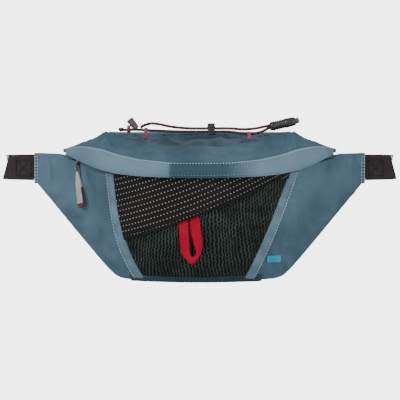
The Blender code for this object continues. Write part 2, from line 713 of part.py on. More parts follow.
def build_cord_slider():
    """Ribbed slider that gathers the two strands; it slides along their straight stretch."""
    body = block("cord_slider", (SLIDER_X - 0.0040, STRAND_Y - 0.0032, 0.0729),
                 (SLIDER_X + 0.0040, STRAND_Y + 0.0032, 0.0842), PLASTIC, bevel=0.0008)
    slot = block("cord_slider_slot", (SLIDER_X - 0.006, STRAND_Y - 0.0018, LOWER_Z - 0.0018),
                 (SLIDER_X + 0.006, STRAND_Y + 0.0018, UPPER_Z + 0.0018), group=CUTTERS)
    combine(body, slot, "DIFFERENCE")


def build_cord_lock():
    """Barrel lock: a spring plunger slides in the barrel's end."""
    axis = (LOCK_END - LOCK_START).normalized()
    barrel = rod("cord_lock_barrel", LOCK_START, LOCK_END, LOCK_R, PLASTIC, sides=20)
    bore = rod("cord_lock_bore", LOCK_END - axis * 0.012, LOCK_END + axis * 0.004,
               PLUNGER_R + GAP, sides=16, group=CUTTERS)
    combine(barrel, bore, "DIFFERENCE")
    rod("cord_lock_plunger", LOCK_END - axis * 0.0050, LOCK_END + axis * PLUNGER_OUT,
        PLUNGER_R, PLASTIC, sides=16)
    start = LOCK_END - axis * 0.0113
    side = axis.orthogonal().normalized()
    other = axis.cross(side)
    turns, per_turn, length = 3, 8, 0.0056
    coil = []
    for step in range(turns * per_turn + 1):
        angle = 2 * math.pi * step / per_turn
        coil.append(start + axis * length * step / (turns * per_turn)
                    + (side * math.cos(angle) + other * math.sin(angle)) * 0.0022)
    tube("cord_lock_spring", coil, 0.0003, SPRING)


# ---------------------------------------------------------------- belt and buckle
FEMALE_X = (-0.0370, 0.0020)
MALE_X = (0.0024, 0.0310)
BUCKLE_HALF = 0.0170
BUCKLE_THICK = 0.0110
FRAME_THICK = 0.0045
PRONG_PIVOT = (0.0042, 0.0095)   # (x, distance from the middle)
PRONG_HOOK_X = -0.0185
KEEPER_X = 0.0960

LEFT_BELT = ((-0.1692, 0.0055), (-0.1780, 0.0075), (-0.1880, 0.0110), (-0.1950, 0.0145),
             (-0.1985, 0.0185), (-0.1955, 0.0225), (-0.1880, 0.0238), (-0.1700, 0.0238),
             (-0.1300, 0.0228), (-0.0900, 0.0220), (-0.0600, 0.0217), (-0.0480, 0.0221),
             (-0.0410, 0.0234), (-0.0355, 0.0239), (-0.0318, 0.0231), (-0.0305, 0.0205),
             (-0.0318, 0.0179), (-0.0355, 0.0171), (-0.0410, 0.0176), (-0.0480, 0.0189),
             (-0.0620, 0.0193))
RIGHT_BELT = ((0.1692, 0.0055), (0.1780, 0.0075), (0.1880, 0.0110), (0.1950, 0.0145),
              (0.1985, 0.0185), (0.1955, 0.0220), (0.1880, 0.0230), (0.1700, 0.0226),
              (0.1300, 0.0212), (0.0900, 0.0207), (0.0550, 0.0203))
BELT_TAIL = ((0.0545, 0.0203), (0.0420, 0.0184), (0.0350, 0.0166), (0.0260, 0.0166),
             (0.0170, 0.0168), (0.0130, 0.0180), (0.0118, 0.0205), (0.0130, 0.0230),
             (0.0170, 0.0242), (0.0260, 0.0244), (0.0380, 0.0242), (0.0600, 0.0233),
             (0.0900, 0.0231), (0.1250, 0.0236))


def strap(name, route, steps):
    """Flat webbing on edge, along a route in plan."""
    path = smooth_route([(x, y, 0.0) for x, y in route], steps)
    rows = [[Vector((point.x, point.y, BELT_Z + side * WEBBING / 2)) for point in path]
            for side in (-1, 1)]
    return sheet(name, rows, WEB_THICK, WEB, side=0.0)


def build_belt():
    strap("belt_left", LEFT_BELT, 3)
    strap("belt_right", RIGHT_BELT, 3)
    strap("belt_tail", BELT_TAIL, 3)


def build_keeper():
    """Elastic loop that holds the loose end against the belt."""
    low = (KEEPER_X - 0.0040, 0.0180, BELT_Z - 0.0150)
    high = (KEEPER_X + 0.0040, 0.0262, BELT_Z + 0.0150)
    keeper = block("belt_keeper", low, high, WEB, bevel=0.0008)
    hole = block("belt_keeper_hole", (low[0] - 0.002, 0.0193, BELT_Z - 0.0131),
                 (high[0] + 0.002, 0.0249, BELT_Z + 0.0131), group=CUTTERS)
    combine(keeper, hole, "DIFFERENCE")


def build_female():
    """Socket half: a thin strap frame behind a thick shell with side windows."""
    half = BUCKLE_THICK / 2
    shell_start = -0.0270
    body = block("buckle_female", (shell_start, BUCKLE_Y - half, BELT_Z - BUCKLE_HALF),
                 (FEMALE_X[1], BUCKLE_Y + half, BELT_Z + BUCKLE_HALF), PLASTIC, bevel=0.0020)
    frame = block("female_frame", (FEMALE_X[0], BUCKLE_Y - FRAME_THICK / 2, BELT_Z - 0.0160),
                  (shell_start + 0.004, BUCKLE_Y + FRAME_THICK / 2, BELT_Z + 0.0160),
                  group=CUTTERS)
    slot = block("female_slot", (-0.0337, BUCKLE_Y - 0.004, BELT_Z - 0.0130),
                 (-0.0280, BUCKLE_Y + 0.004, BELT_Z + 0.0130), group=CUTTERS)
    cavity = block("female_cavity", (-0.0215, BUCKLE_Y - 0.0034, BELT_Z - 0.0138),
                   (FEMALE_X[1] + 0.003, BUCKLE_Y + 0.0034, BELT_Z + 0.0138), group=CUTTERS)
    combine(body, frame, "UNION")
    combine(body, slot, "DIFFERENCE")
    combine(body, cavity, "DIFFERENCE")
    for side in (-1, 1):
        edges = sorted((BELT_Z + side * 0.0120, BELT_Z + side * 0.0180))
        window = block(f"female_window_{side}", (-0.0200, BUCKLE_Y - 0.0034, edges[0]),
                       (-0.0070, BUCKLE_Y + 0.0034, edges[1]), group=CUTTERS)
        combine(body, window, "DIFFERENCE")


def build_male():
    """Plug half: a frame with the strap's bar and a guide tongue between the two prongs."""
    body = block("buckle_male", (MALE_X[0], BUCKLE_Y - FRAME_THICK / 2, BELT_Z - 0.0165),
                 (MALE_X[1], BUCKLE_Y + FRAME_THICK / 2, BELT_Z + 0.0165), PLASTIC, bevel=0.0012)
    tongue = block("male_tongue", (-0.0190, BUCKLE_Y - 0.0020, BELT_Z - 0.0032),
                   (MALE_X[0] + 0.003, BUCKLE_Y + 0.0020, BELT_Z + 0.0032), group=CUTTERS)
    slot = block("male_slot", (0.0086, BUCKLE_Y - 0.006, BELT_Z - 0.0131),
                 (0.0148, BUCKLE_Y + 0.006, BELT_Z + 0.0131), group=CUTTERS)
    combine(body, tongue, "UNION")
    combine(body, slot, "DIFFERENCE")
    for side in (-1, 1):
        edges = sorted((BELT_Z + side * 0.0068, BELT_Z + side * 0.0142))
        notch = block(f"male_notch_{side}", (MALE_X[0] - 0.001, BUCKLE_Y - 0.006, edges[0]),
                      (0.0064, BUCKLE_Y + 0.006, edges[1]), group=CUTTERS)
        combine(body, notch, "DIFFERENCE")


def build_prong(name, side):
    """A springy arm with a hooked head that shows in the socket's window."""
    inner = (0.0078, 0.0112)
    arm_edges = sorted(BELT_Z + side * edge for edge in inner)
    arm = block(name, (PRONG_HOOK_X + 0.002, BUCKLE_Y - 0.0025, arm_edges[0]),
                (0.0058, BUCKLE_Y + 0.0025, arm_edges[1]), PLASTIC, bevel=0.0005)
    head_edges = sorted(BELT_Z + side * edge for edge in (0.0080, 0.0134))
    head = block(name + "_head", (PRONG_HOOK_X, BUCKLE_Y - 0.0025, head_edges[0]),
                 (-0.0080, BUCKLE_Y + 0.0025, head_edges[1]), bevel=0.0010, group=CUTTERS)
    combine(arm, head, "UNION")


# ---------------------------------------------------------------- assembly
def pivot(name, place, parent=None):
    """An empty on a joint's axis that carries the moving pieces."""
    empty = bpy.data.objects.new(name, None)
    empty.empty_display_size = 0.01
    PARTS.objects.link(empty)
    empty.location = place
    if parent:
        empty.parent = parent
        empty.matrix_parent_inverse = Matrix.Translation(-Vector(parent["place"]))
    empty["place"] = tuple(place)
    return empty


def carry(empty, names):
    for name in names:
        piece = bpy.data.objects[name]
        piece.parent = empty
        piece.matrix_parent_inverse = Matrix.Translation(-Vector(empty["place"]))


def build():
    build_back()
    build_shell()
    for side, word in ((-1, "left"), (1, "right")):
        build_wing("wing_" + word, side)
        build_binding("wing_binding_" + word, side)
    build_pocket()
    build_pull_loop()
    build_side_tab()
    build_zip()
    build_slider()
    pull_hinge = build_pull()
    build_lid()
    build_bungee()
    build_cord_slider()
    build_cord_lock()
    build_belt()
    build_keeper()
    build_female()
    build_male()
    for side, word in ((-1, "lower"), (1, "upper")):
        build_prong("buckle_prong_" + word, side)

    lid = pivot("lid_pivot", (0, *LID_HINGE))
    carry(lid, ("lid_shell", "lid_hem_band", "zip_tape_upper", "zip_coil_upper", "bungee_upper",
                "bungee_lower", "bungee_knot", "cord_end_tag", "cord_lock_barrel",
                "cord_lock_spring", "cord_loop_front_left", "cord_loop_front_right",
                "cord_loop_rear_left"))
    carry(pivot("cord_slider_pivot", (SLIDER_X, STRAND_Y, UPPER_Z), lid), ("cord_slider",))
    carry(pivot("cord_lock_pivot", LOCK_END, lid), ("cord_lock_plunger",))
    zip_pivot = pivot("zip_pivot", ZIP_CENTRE)
    carry(zip_pivot, ("zip_slider",))
    carry(pivot("pull_pivot", pull_hinge, zip_pivot), ("zip_pull",))
    carry(pivot("loop_pivot", LOOP_TOP), ("red_pull_loop",))
    plug = pivot("buckle_pivot", (MALE_X[0], BUCKLE_Y, BELT_Z))
    carry(plug, ("buckle_male", "belt_tail"))
    for side, word in ((-1, "lower"), (1, "upper")):
        place = (PRONG_PIVOT[0], BUCKLE_Y, BELT_Z + side * PRONG_PIVOT[1])
        carry(pivot("prong_pivot_" + word, place, plug), ("buckle_prong_" + word,))
    carry(pivot("keeper_pivot", (KEEPER_X, BUCKLE_Y, BELT_Z), plug), ("belt_keeper",))


build()
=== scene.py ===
"""Looks of the waist pack: its cloth, webbing, cords and trims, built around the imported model."""
import json
import math

import bmesh
import bpy
from mathutils import Vector, noise
from mathutils.bvhtree import BVHTree
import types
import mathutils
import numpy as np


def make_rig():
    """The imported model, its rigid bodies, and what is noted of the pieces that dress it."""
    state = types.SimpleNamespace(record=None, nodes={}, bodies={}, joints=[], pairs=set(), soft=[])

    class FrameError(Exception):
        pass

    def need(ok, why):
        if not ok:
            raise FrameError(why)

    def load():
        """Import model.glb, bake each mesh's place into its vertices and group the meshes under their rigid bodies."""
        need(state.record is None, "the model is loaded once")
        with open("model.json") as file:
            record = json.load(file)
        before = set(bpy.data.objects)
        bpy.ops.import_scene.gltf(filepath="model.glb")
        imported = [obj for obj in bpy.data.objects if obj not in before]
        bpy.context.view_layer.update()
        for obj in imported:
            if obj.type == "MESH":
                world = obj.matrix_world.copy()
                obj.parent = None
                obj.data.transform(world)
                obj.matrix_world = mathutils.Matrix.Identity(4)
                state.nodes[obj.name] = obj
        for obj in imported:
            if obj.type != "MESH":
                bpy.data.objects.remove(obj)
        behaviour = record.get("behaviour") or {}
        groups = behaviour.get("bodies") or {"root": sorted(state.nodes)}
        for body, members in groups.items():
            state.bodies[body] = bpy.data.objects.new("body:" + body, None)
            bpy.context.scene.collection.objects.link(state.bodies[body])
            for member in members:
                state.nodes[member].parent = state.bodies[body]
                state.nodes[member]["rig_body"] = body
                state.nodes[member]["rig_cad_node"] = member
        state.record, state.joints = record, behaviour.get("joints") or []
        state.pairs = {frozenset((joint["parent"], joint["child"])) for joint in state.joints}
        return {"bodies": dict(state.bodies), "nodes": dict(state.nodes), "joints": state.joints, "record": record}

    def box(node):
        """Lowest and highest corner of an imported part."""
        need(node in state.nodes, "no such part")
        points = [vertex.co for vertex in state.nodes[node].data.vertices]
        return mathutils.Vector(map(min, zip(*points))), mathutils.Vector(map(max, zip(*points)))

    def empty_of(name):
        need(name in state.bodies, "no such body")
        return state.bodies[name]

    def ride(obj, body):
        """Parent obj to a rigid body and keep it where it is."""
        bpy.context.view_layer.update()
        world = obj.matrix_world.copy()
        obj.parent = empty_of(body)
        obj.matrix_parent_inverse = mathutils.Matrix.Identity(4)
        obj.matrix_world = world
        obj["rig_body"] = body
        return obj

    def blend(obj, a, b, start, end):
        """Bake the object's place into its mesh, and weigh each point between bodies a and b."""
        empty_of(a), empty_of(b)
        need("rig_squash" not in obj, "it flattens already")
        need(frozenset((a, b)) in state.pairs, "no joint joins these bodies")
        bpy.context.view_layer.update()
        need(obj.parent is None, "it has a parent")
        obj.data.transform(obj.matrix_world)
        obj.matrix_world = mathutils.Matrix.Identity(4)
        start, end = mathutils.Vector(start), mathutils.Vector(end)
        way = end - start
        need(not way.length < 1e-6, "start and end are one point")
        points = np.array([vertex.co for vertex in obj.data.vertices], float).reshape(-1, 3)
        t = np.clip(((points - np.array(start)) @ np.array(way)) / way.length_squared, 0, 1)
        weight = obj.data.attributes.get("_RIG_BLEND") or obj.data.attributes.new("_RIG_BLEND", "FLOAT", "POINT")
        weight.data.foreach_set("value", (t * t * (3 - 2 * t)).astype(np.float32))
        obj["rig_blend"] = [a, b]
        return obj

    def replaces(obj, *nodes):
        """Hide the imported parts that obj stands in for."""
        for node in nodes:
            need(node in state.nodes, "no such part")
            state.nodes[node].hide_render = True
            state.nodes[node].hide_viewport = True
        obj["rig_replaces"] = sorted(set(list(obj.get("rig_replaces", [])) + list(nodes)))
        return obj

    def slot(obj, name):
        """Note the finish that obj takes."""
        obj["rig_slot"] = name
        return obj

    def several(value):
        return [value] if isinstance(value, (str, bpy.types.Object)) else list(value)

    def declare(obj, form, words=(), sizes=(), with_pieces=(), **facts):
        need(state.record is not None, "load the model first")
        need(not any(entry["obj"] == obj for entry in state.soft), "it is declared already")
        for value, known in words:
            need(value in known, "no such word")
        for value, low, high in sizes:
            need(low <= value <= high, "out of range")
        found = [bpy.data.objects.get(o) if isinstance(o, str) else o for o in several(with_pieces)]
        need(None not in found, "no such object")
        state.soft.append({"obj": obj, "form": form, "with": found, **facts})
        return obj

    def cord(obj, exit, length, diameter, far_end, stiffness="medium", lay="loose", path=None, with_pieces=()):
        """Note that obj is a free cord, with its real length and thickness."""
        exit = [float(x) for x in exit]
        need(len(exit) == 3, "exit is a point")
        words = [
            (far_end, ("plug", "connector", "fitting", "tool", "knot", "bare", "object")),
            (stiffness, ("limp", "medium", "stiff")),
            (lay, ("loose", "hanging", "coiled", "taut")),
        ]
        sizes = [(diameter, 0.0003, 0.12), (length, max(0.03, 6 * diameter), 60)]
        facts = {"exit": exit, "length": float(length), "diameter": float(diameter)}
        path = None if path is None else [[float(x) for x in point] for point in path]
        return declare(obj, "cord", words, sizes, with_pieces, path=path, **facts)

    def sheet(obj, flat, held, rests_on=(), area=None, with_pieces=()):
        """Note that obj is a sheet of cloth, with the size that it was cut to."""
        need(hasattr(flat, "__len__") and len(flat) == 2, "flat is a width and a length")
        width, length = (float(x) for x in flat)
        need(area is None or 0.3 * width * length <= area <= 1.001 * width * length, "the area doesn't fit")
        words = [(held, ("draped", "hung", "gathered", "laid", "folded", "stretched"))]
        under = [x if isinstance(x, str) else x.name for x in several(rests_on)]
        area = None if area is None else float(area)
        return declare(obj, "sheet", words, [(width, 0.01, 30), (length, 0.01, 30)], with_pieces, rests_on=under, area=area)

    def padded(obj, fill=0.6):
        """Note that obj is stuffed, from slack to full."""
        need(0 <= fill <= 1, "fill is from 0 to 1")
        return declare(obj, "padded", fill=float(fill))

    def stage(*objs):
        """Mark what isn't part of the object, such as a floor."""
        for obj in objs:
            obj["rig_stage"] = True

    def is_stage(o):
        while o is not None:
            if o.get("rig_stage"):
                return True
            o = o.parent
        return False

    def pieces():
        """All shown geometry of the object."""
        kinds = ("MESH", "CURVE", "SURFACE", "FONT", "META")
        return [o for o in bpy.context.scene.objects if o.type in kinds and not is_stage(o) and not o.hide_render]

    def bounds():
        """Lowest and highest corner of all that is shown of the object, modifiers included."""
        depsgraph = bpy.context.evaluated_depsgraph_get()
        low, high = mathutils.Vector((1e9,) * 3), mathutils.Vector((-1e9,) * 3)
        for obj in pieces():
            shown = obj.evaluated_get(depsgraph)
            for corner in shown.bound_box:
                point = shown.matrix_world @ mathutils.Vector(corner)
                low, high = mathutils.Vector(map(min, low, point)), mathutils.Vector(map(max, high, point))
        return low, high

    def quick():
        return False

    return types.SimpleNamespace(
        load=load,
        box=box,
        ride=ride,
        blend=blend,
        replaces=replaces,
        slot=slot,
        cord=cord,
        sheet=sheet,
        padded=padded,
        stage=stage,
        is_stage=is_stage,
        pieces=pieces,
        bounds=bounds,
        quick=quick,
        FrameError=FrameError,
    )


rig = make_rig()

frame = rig.load()
CAD_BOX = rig.bounds()

# ---------------------------------------------------------------- the CAD model's driving sizes, in metres
BELLY_DEPTH = 0.084
PLAN_REACH = 0.168
PLAN_POWER = 1.05
FLOOR_DEPTH = 0.53
BELLY_HEIGHT = 0.6
BOTTOM_Z = -0.074
LOWER_CORNER = (0.089, -0.068)
SIDE_SLOPE = 1.16
BOTTOM_ROUNDING = 0.008
FLAT_BACK_HALF = 0.080
HIP_CURVE = 0.012
HIP_SPAN = 0.090
SHELL_HALF = 0.128
WING_END = 0.165
WING_TOP = 0.052
ZIP_TILT = math.radians(8.5)
ZIP_RADIUS = 0.160
ZIP_FRONT = (-0.082, 0.044)
ZIP_LEFT = math.radians(-47.5)
ZIP_RIGHT = math.radians(44.0)
RIM_OUT = 0.0028
RIM_DOWN = 0.0060
HEM_RADIUS = 0.1690
HEM_FRONT_Y = -0.0925
LID_HALF = 0.138
FLAP_SHOULDER = 0.72
TOP_CROWN = 0.0015
POCKET_TOP = 0.0322
POCKET_BOTTOM = -0.0665
WEBBING = 0.025
BELT_Z = 0.036
CORD_R = 0.0014
SHELL_CLOTH = 0.0014

# Lid sections: x, rear edge y and z, front ridge y and z, hem z, height share of the hem band
LID_SECTIONS = (
    (0.000, -0.0060, 0.0738, -0.0660, 0.0635, 0.0360, 0.38),
    (0.030, -0.0060, 0.0734, -0.0645, 0.0638, 0.0362, 0.38),
    (0.060, -0.0060, 0.0730, -0.0600, 0.0690, 0.0368, 0.38),
    (0.080, -0.0060, 0.0730, -0.0545, 0.0740, 0.0382, 0.40),
    (0.094, -0.0060, 0.0735, -0.0495, 0.0775, 0.0405, 0.43),
    (0.104, -0.0070, 0.0690, -0.0450, 0.0710, 0.0430, 0.55),
    (0.115, -0.0085, 0.0640, -0.0395, 0.0655, 0.0465, 0.72),
    (0.127, -0.0100, 0.0595, -0.0320, 0.0607, 0.0510, 0.90),
    (0.138, -0.0110, 0.0565, -0.0215, 0.0572, 0.0550, 0.95),
)


def smoothstep(low, high, value):
    share = min(1.0, max(0.0, (value - low) / (high - low)))
    return share * share * (3 - 2 * share)


def spread(low, high, count):
    return [low + (high - low) * step / (count - 1) for step in range(count)]


def blunt(value, power):
    """A sine or cosine to a power below 1, with its sign kept: it makes a circle squarer."""
    return math.copysign(abs(value) ** power, value)


ZIP_OUT = Vector((0, -math.cos(ZIP_TILT), -math.sin(ZIP_TILT)))
ZIP_UP = Vector((0, -math.sin(ZIP_TILT), math.cos(ZIP_TILT)))
ZIP_CENTRE = Vector((0, *ZIP_FRONT)) - ZIP_OUT * ZIP_RADIUS
RIM_RADIUS = ZIP_RADIUS + RIM_OUT


def zip_point(angle, out=0.0, up=0.0):
    radius = ZIP_RADIUS + out
    return (ZIP_CENTRE + Vector((radius * math.sin(angle), 0, 0))
            + ZIP_OUT * radius * math.cos(angle) + ZIP_UP * up)


def bottom_z(x):
    slope = LOWER_CORNER[1] + SIDE_SLOPE * (abs(x) - LOWER_CORNER[0])
    return 0.5 * (BOTTOM_Z + slope + math.hypot(slope - BOTTOM_Z, BOTTOM_ROUNDING))


def back_y(x):
    return HIP_CURVE * (max(0.0, abs(x) - FLAT_BACK_HALF) / HIP_SPAN) ** 2


def rim(x):
    side = min(abs(x), SHELL_HALF)
    point = zip_point(math.asin(side / RIM_RADIUS), RIM_OUT, -RIM_DOWN)
    along = max(0.0, abs(x) - SHELL_HALF) / (WING_END - SHELL_HALF)
    rise = math.sin(min(1.0, along * 2.5) * math.pi / 2)
    return point.y * max(0.0, 1 - along) ** 1.2, point.z + (WING_TOP - point.z) * rise


def skin(x, z):
    deepest = BELLY_DEPTH * max(0.0, math.cos(math.pi / 2 * abs(x) / PLAN_REACH)) ** PLAN_POWER
    low = bottom_z(x)
    edge_y, edge_z = rim(x)
    height = min(1.0, max(0.0, (z - low) / (edge_z - low)))
    under = 1 - min(1.0, height / BELLY_HEIGHT)
    depth = deepest * (FLOOR_DEPTH + (1 - FLOOR_DEPTH) * (1 - under ** 2) ** 0.6)
    above = max(0.0, height - BELLY_HEIGHT) / (1 - BELLY_HEIGHT)
    return -(depth + (-edge_y - deepest) * above ** 2)


def lid_values_at(x):
    side = min(abs(x), LID_SECTIONS[-1][0])
    for near, far in zip(LID_SECTIONS, LID_SECTIONS[1:]):
        if side <= far[0]:
            break
    share = (side - near[0]) / (far[0] - near[0])
    rear_y, rear_z, ridge_y, ridge_z, hem_z, band = [a + (b - a) * share
                                                     for a, b in zip(near[1:], far[1:])]
    hem_y = HEM_FRONT_Y + HEM_RADIUS - math.sqrt(HEM_RADIUS ** 2 - x ** 2)
    return (Vector((x, rear_y, rear_z)), Vector((x, ridge_y, ridge_z)),
            Vector((x, hem_y, hem_z)), band)


def flap_point(x, share):
    _, ridge, hem, _ = lid_values_at(x)
    shoulder = Vector((x, hem.y + 0.001, hem.z + FLAP_SHOULDER * (ridge.z - hem.z)))
    return hem * (1 - share) ** 2 + shoulder * 2 * share * (1 - share) + ridge * share ** 2


def lid_top_point(x, share):
    rear, ridge, _, _ = lid_values_at(x)
    chord = rear - ridge
    crown = TOP_CROWN * min(1.0, chord.length / 0.04)
    return ridge + chord * share + Vector((0, 0, crown)) * 4 * share * (1 - share)


def left_edge(down):
    return -0.0835 + 0.010 * down + 0.017 * down ** 3


def right_edge(down):
    return 0.0865 - 0.034 * down - 0.007 * down ** 2


def depth_share(z):
    return (POCKET_TOP - z) / (POCKET_TOP - POCKET_BOTTOM)


def diagonal_z(x):
    return -0.0018 + 0.40 * x + 0.6 * x ** 2


def smooth_route(points, steps):
    """A Catmull-Rom curve through points, with its ends kept."""
    points = [Vector(point) for point in points]
    padded = [2 * points[0] - points[1]] + points + [2 * points[-1] - points[-2]]
    route = []
    for index in range(1, len(padded) - 2):
        before, here, there, after = padded[index - 1:index + 3]
        for step in range(steps):
            t = step / steps
            route.append(0.5 * (2 * here + (there - before) * t
                                + (2 * before - 5 * here + 4 * there - after) * t ** 2
                                + (3 * here - before - 3 * there + after) * t ** 3))
    route.append(points[-1])
    return route


# ---------------------------------------------------------------- materials
def srgb(*channels):
    """A linear colour from 0-255 display values."""
    linear = [(c / 255) / 12.92 if c <= 10 else ((c / 255 + 0.055) / 1.055) ** 2.4 for c in channels]
    return (*linear, 1.0)


class Graph:
    """A node material, with short names for the nodes that the fabrics share."""

    def __init__(self, name, roughness=0.6, metallic=0.0, sheen=0.0, specular=0.5):
        self.material = bpy.data.materials.new(name)
        self.material.use_nodes = True
        self.tree = self.material.node_tree
        self.shader = self.tree.nodes["Principled BSDF"]
        self.shader.inputs["Roughness"].default_value = roughness
        self.shader.inputs["Metallic"].default_value = metallic
        self.shader.inputs["Sheen Weight"].default_value = sheen
        self.shader.inputs["Sheen Roughness"].default_value = 0.45
        self.shader.inputs["Specular IOR Level"].default_value = specular
        self.coordinates = self.tree.nodes.new("ShaderNodeTexCoord")
        self.uv = self.coordinates.outputs["UV"]
        self.place = self.coordinates.outputs["Object"]

    def set(self, socket, value):
        if isinstance(value, bpy.types.NodeSocket):
            self.tree.links.new(value, socket)
        else:
            socket.default_value = value

    def wave(self, vector, direction, pitch, distortion=0.0):
        """Ridges across one axis, this far apart."""
        node = self.tree.nodes.new("ShaderNodeTexWave")
        node.bands_direction = direction
        node.inputs["Scale"].default_value = math.pi / 10 / pitch
        node.inputs["Distortion"].default_value = distortion
        self.set(node.inputs["Vector"], vector)
        return node.outputs["Fac"]

    def noise(self, vector, scale, detail=2.0):
        node = self.tree.nodes.new("ShaderNodeTexNoise")
        node.inputs["Scale"].default_value = scale
        node.inputs["Detail"].default_value = detail
        self.set(node.inputs["Vector"], vector)
        return node.outputs["Fac"]

    def maths(self, operation, first, second=0.0, third=0.0):
        node = self.tree.nodes.new("ShaderNodeMath")
        node.operation = operation
        for socket, value in zip(node.inputs, (first, second, third)):
            self.set(socket, value)
        return node.outputs[0]

    def ramp(self, value, low, high):
        """0 below low, 1 above high, smooth between."""
        node = self.tree.nodes.new("ShaderNodeMapRange")
        node.interpolation_type = "SMOOTHSTEP"
        self.set(node.inputs["Value"], value)
        node.inputs["From Min"].default_value = low
        node.inputs["From Max"].default_value = high
        return node.outputs[0]

    def mix(self, factor, first, second):
        node = self.tree.nodes.new("ShaderNodeMix")
        node.data_type = "RGBA"
        self.set(node.inputs[0], factor)
        self.set(node.inputs[6], first)
        self.set(node.inputs[7], second)
        return node.outputs[2]

    def parts(self, vector):
        node = self.tree.nodes.new("ShaderNodeSeparateXYZ")
        self.set(node.inputs[0], vector)
        return node.outputs

    def dot_distance(self, dot_gap, row_gap, stagger):
        """Distance from the nearest dot, in rows that are each shifted against the last."""
        u, v, _ = self.parts(self.uv)
        row = self.maths("DIVIDE", v, row_gap)
        shift = self.maths("MULTIPLY", self.maths("FLOOR", row), stagger)
        dot = self.maths("ADD", self.maths("DIVIDE", u, dot_gap), shift)
        across = self.maths("MULTIPLY", self.maths("SUBTRACT", self.maths("FRACT", dot), 0.5), dot_gap)
        up = self.maths("MULTIPLY", self.maths("SUBTRACT", self.maths("FRACT", row), 0.5), row_gap)
        return self.maths("SQRT", self.maths("ADD", self.maths("MULTIPLY", across, across),
                                             self.maths("MULTIPLY", up, up)))

    def attribute(self, name):
        node = self.tree.nodes.new("ShaderNodeAttribute")
        node.attribute_name = name
        return node.outputs["Fac"]

    def relief(self, height, distance, strength=0.6):
        node = self.tree.nodes.new("ShaderNodeBump")
        node.inputs["Distance"].default_value = distance
        node.inputs["Strength"].default_value = strength
        self.set(node.inputs["Height"], height)
        self.set(self.shader.inputs["Normal"], node.outputs["Normal"])

    def colour(self, value):
        self.set(self.shader.inputs["Base Color"], value)

    def roughness(self, value):
        self.set(self.shader.inputs["Roughness"], value)


def weave(graph, pitch):
    """Height of a plain weave: threads over and under each other."""
    across = graph.wave(graph.uv, "X", pitch)
    along = graph.wave(graph.uv, "Y", pitch)
    return graph.maths("MAXIMUM", across, along)


def fabric(name, dark, light, pitch=0.0006, depth=0.00012, roughness=0.76, blotch=16.0):
    """Woven nylon: soft blotches of tone, a fine speckle of threads, a weave in relief, and the crests of the threads
    painted lighter as a highlight.
    """
    graph = Graph(name, roughness, specular=0.12)
    threads = weave(graph, pitch)
    cloud = graph.ramp(graph.noise(graph.place, blotch, 3.0), 0.32, 0.68)
    speckle = graph.ramp(graph.noise(graph.place, 1400.0, 1.0), 0.25, 0.75)
    tone = graph.mix(cloud, dark, light)
    shaded = graph.mix(graph.maths("MULTIPLY", speckle, 0.22), tone, dark)
    # Painted highlight: the raised threads of the weave are painted lighter.
    wear_and_highlight = graph.mix(graph.maths("MULTIPLY", threads, 0.14), shaded, light)
    graph.colour(wear_and_highlight)
    graph.roughness(graph.maths("MULTIPLY_ADD", cloud, 0.10, roughness - 0.05))
    graph.relief(graph.maths("ADD", threads, graph.maths("MULTIPLY", speckle, 0.5)), depth)
    return graph


def plain_weave(name, dark, light, **options):
    return fabric(name, dark, light, **options).material


BODY = plain_weave("body_cloth", srgb(63, 87, 102), srgb(92, 117, 133))
FLAP = plain_weave("flap_cloth", srgb(54, 77, 90), srgb(80, 106, 120))
LINING = plain_weave("lining_cloth", srgb(78, 82, 85), srgb(96, 100, 103))
PIPING = plain_weave("piping_cloth", srgb(96, 120, 136), srgb(124, 148, 163), pitch=0.0009)
TAPE = plain_weave("zip_tape_cloth", srgb(50, 68, 78), srgb(66, 86, 98), pitch=0.0008)
DARK_CLOTH = plain_weave("bottom_cloth", srgb(48, 65, 75), srgb(64, 84, 95), pitch=0.0009)
FOLD_CLOTH = plain_weave("mouth_fold_cloth", srgb(24, 23, 25), srgb(36, 35, 37), pitch=0.0007)
RED = plain_weave("red_ribbon_weave", srgb(158, 0, 34), srgb(206, 0, 64), pitch=0.0009,
                  depth=0.0002, roughness=0.6)
CYAN = plain_weave("cyan_weave", srgb(20, 140, 178), srgb(48, 168, 204), pitch=0.0007, depth=0.0002)
PINK = plain_weave("pink_ribbon_weave", srgb(118, 58, 74), srgb(160, 90, 104), pitch=0.0007)


def band_material():
    """Hem binding: a painted sheen makes it bright at both ends, and over the smooth stretch in the middle, without
    the sheen, it is painted darker.
    """
    # These two tones hold the band's painted sheen.
    graph = fabric("hem_band_cloth", srgb(84, 109, 126), srgb(112, 138, 155), pitch=0.0008,
                   depth=0.00016, roughness=0.52)
    bright = graph.shader.inputs["Base Color"].links[0].from_socket
    x = graph.parts(graph.place)[0]
    # The middle stretch is painted darker, without the painted sheen of the ends.
    middle = graph.maths("SUBTRACT", graph.ramp(x, -0.032, -0.027), graph.ramp(x, 0.020, 0.062))
    graph.colour(graph.mix(graph.maths("MULTIPLY", middle, 0.88), bright, srgb(46, 68, 80)))
    return graph.material


def grosgrain_material():
    """Ribbed ribbon: ridges across its length, their crests painted lighter as a highlight."""
    graph = Graph("grosgrain", 0.66, specular=0.3)
    ribs = graph.wave(graph.uv, "Y", 0.0010, 0.4)
    cloud = graph.ramp(graph.noise(graph.place, 60.0, 3.0), 0.3, 0.7)
    tone = graph.mix(cloud, srgb(78, 103, 120), srgb(104, 130, 147))
    # Painted highlight: the raised ribs are painted lighter.
    graph.colour(graph.mix(graph.maths("MULTIPLY", ribs, 0.30), tone, srgb(122, 147, 164)))
    graph.relief(ribs, 0.0003)
    return graph.material


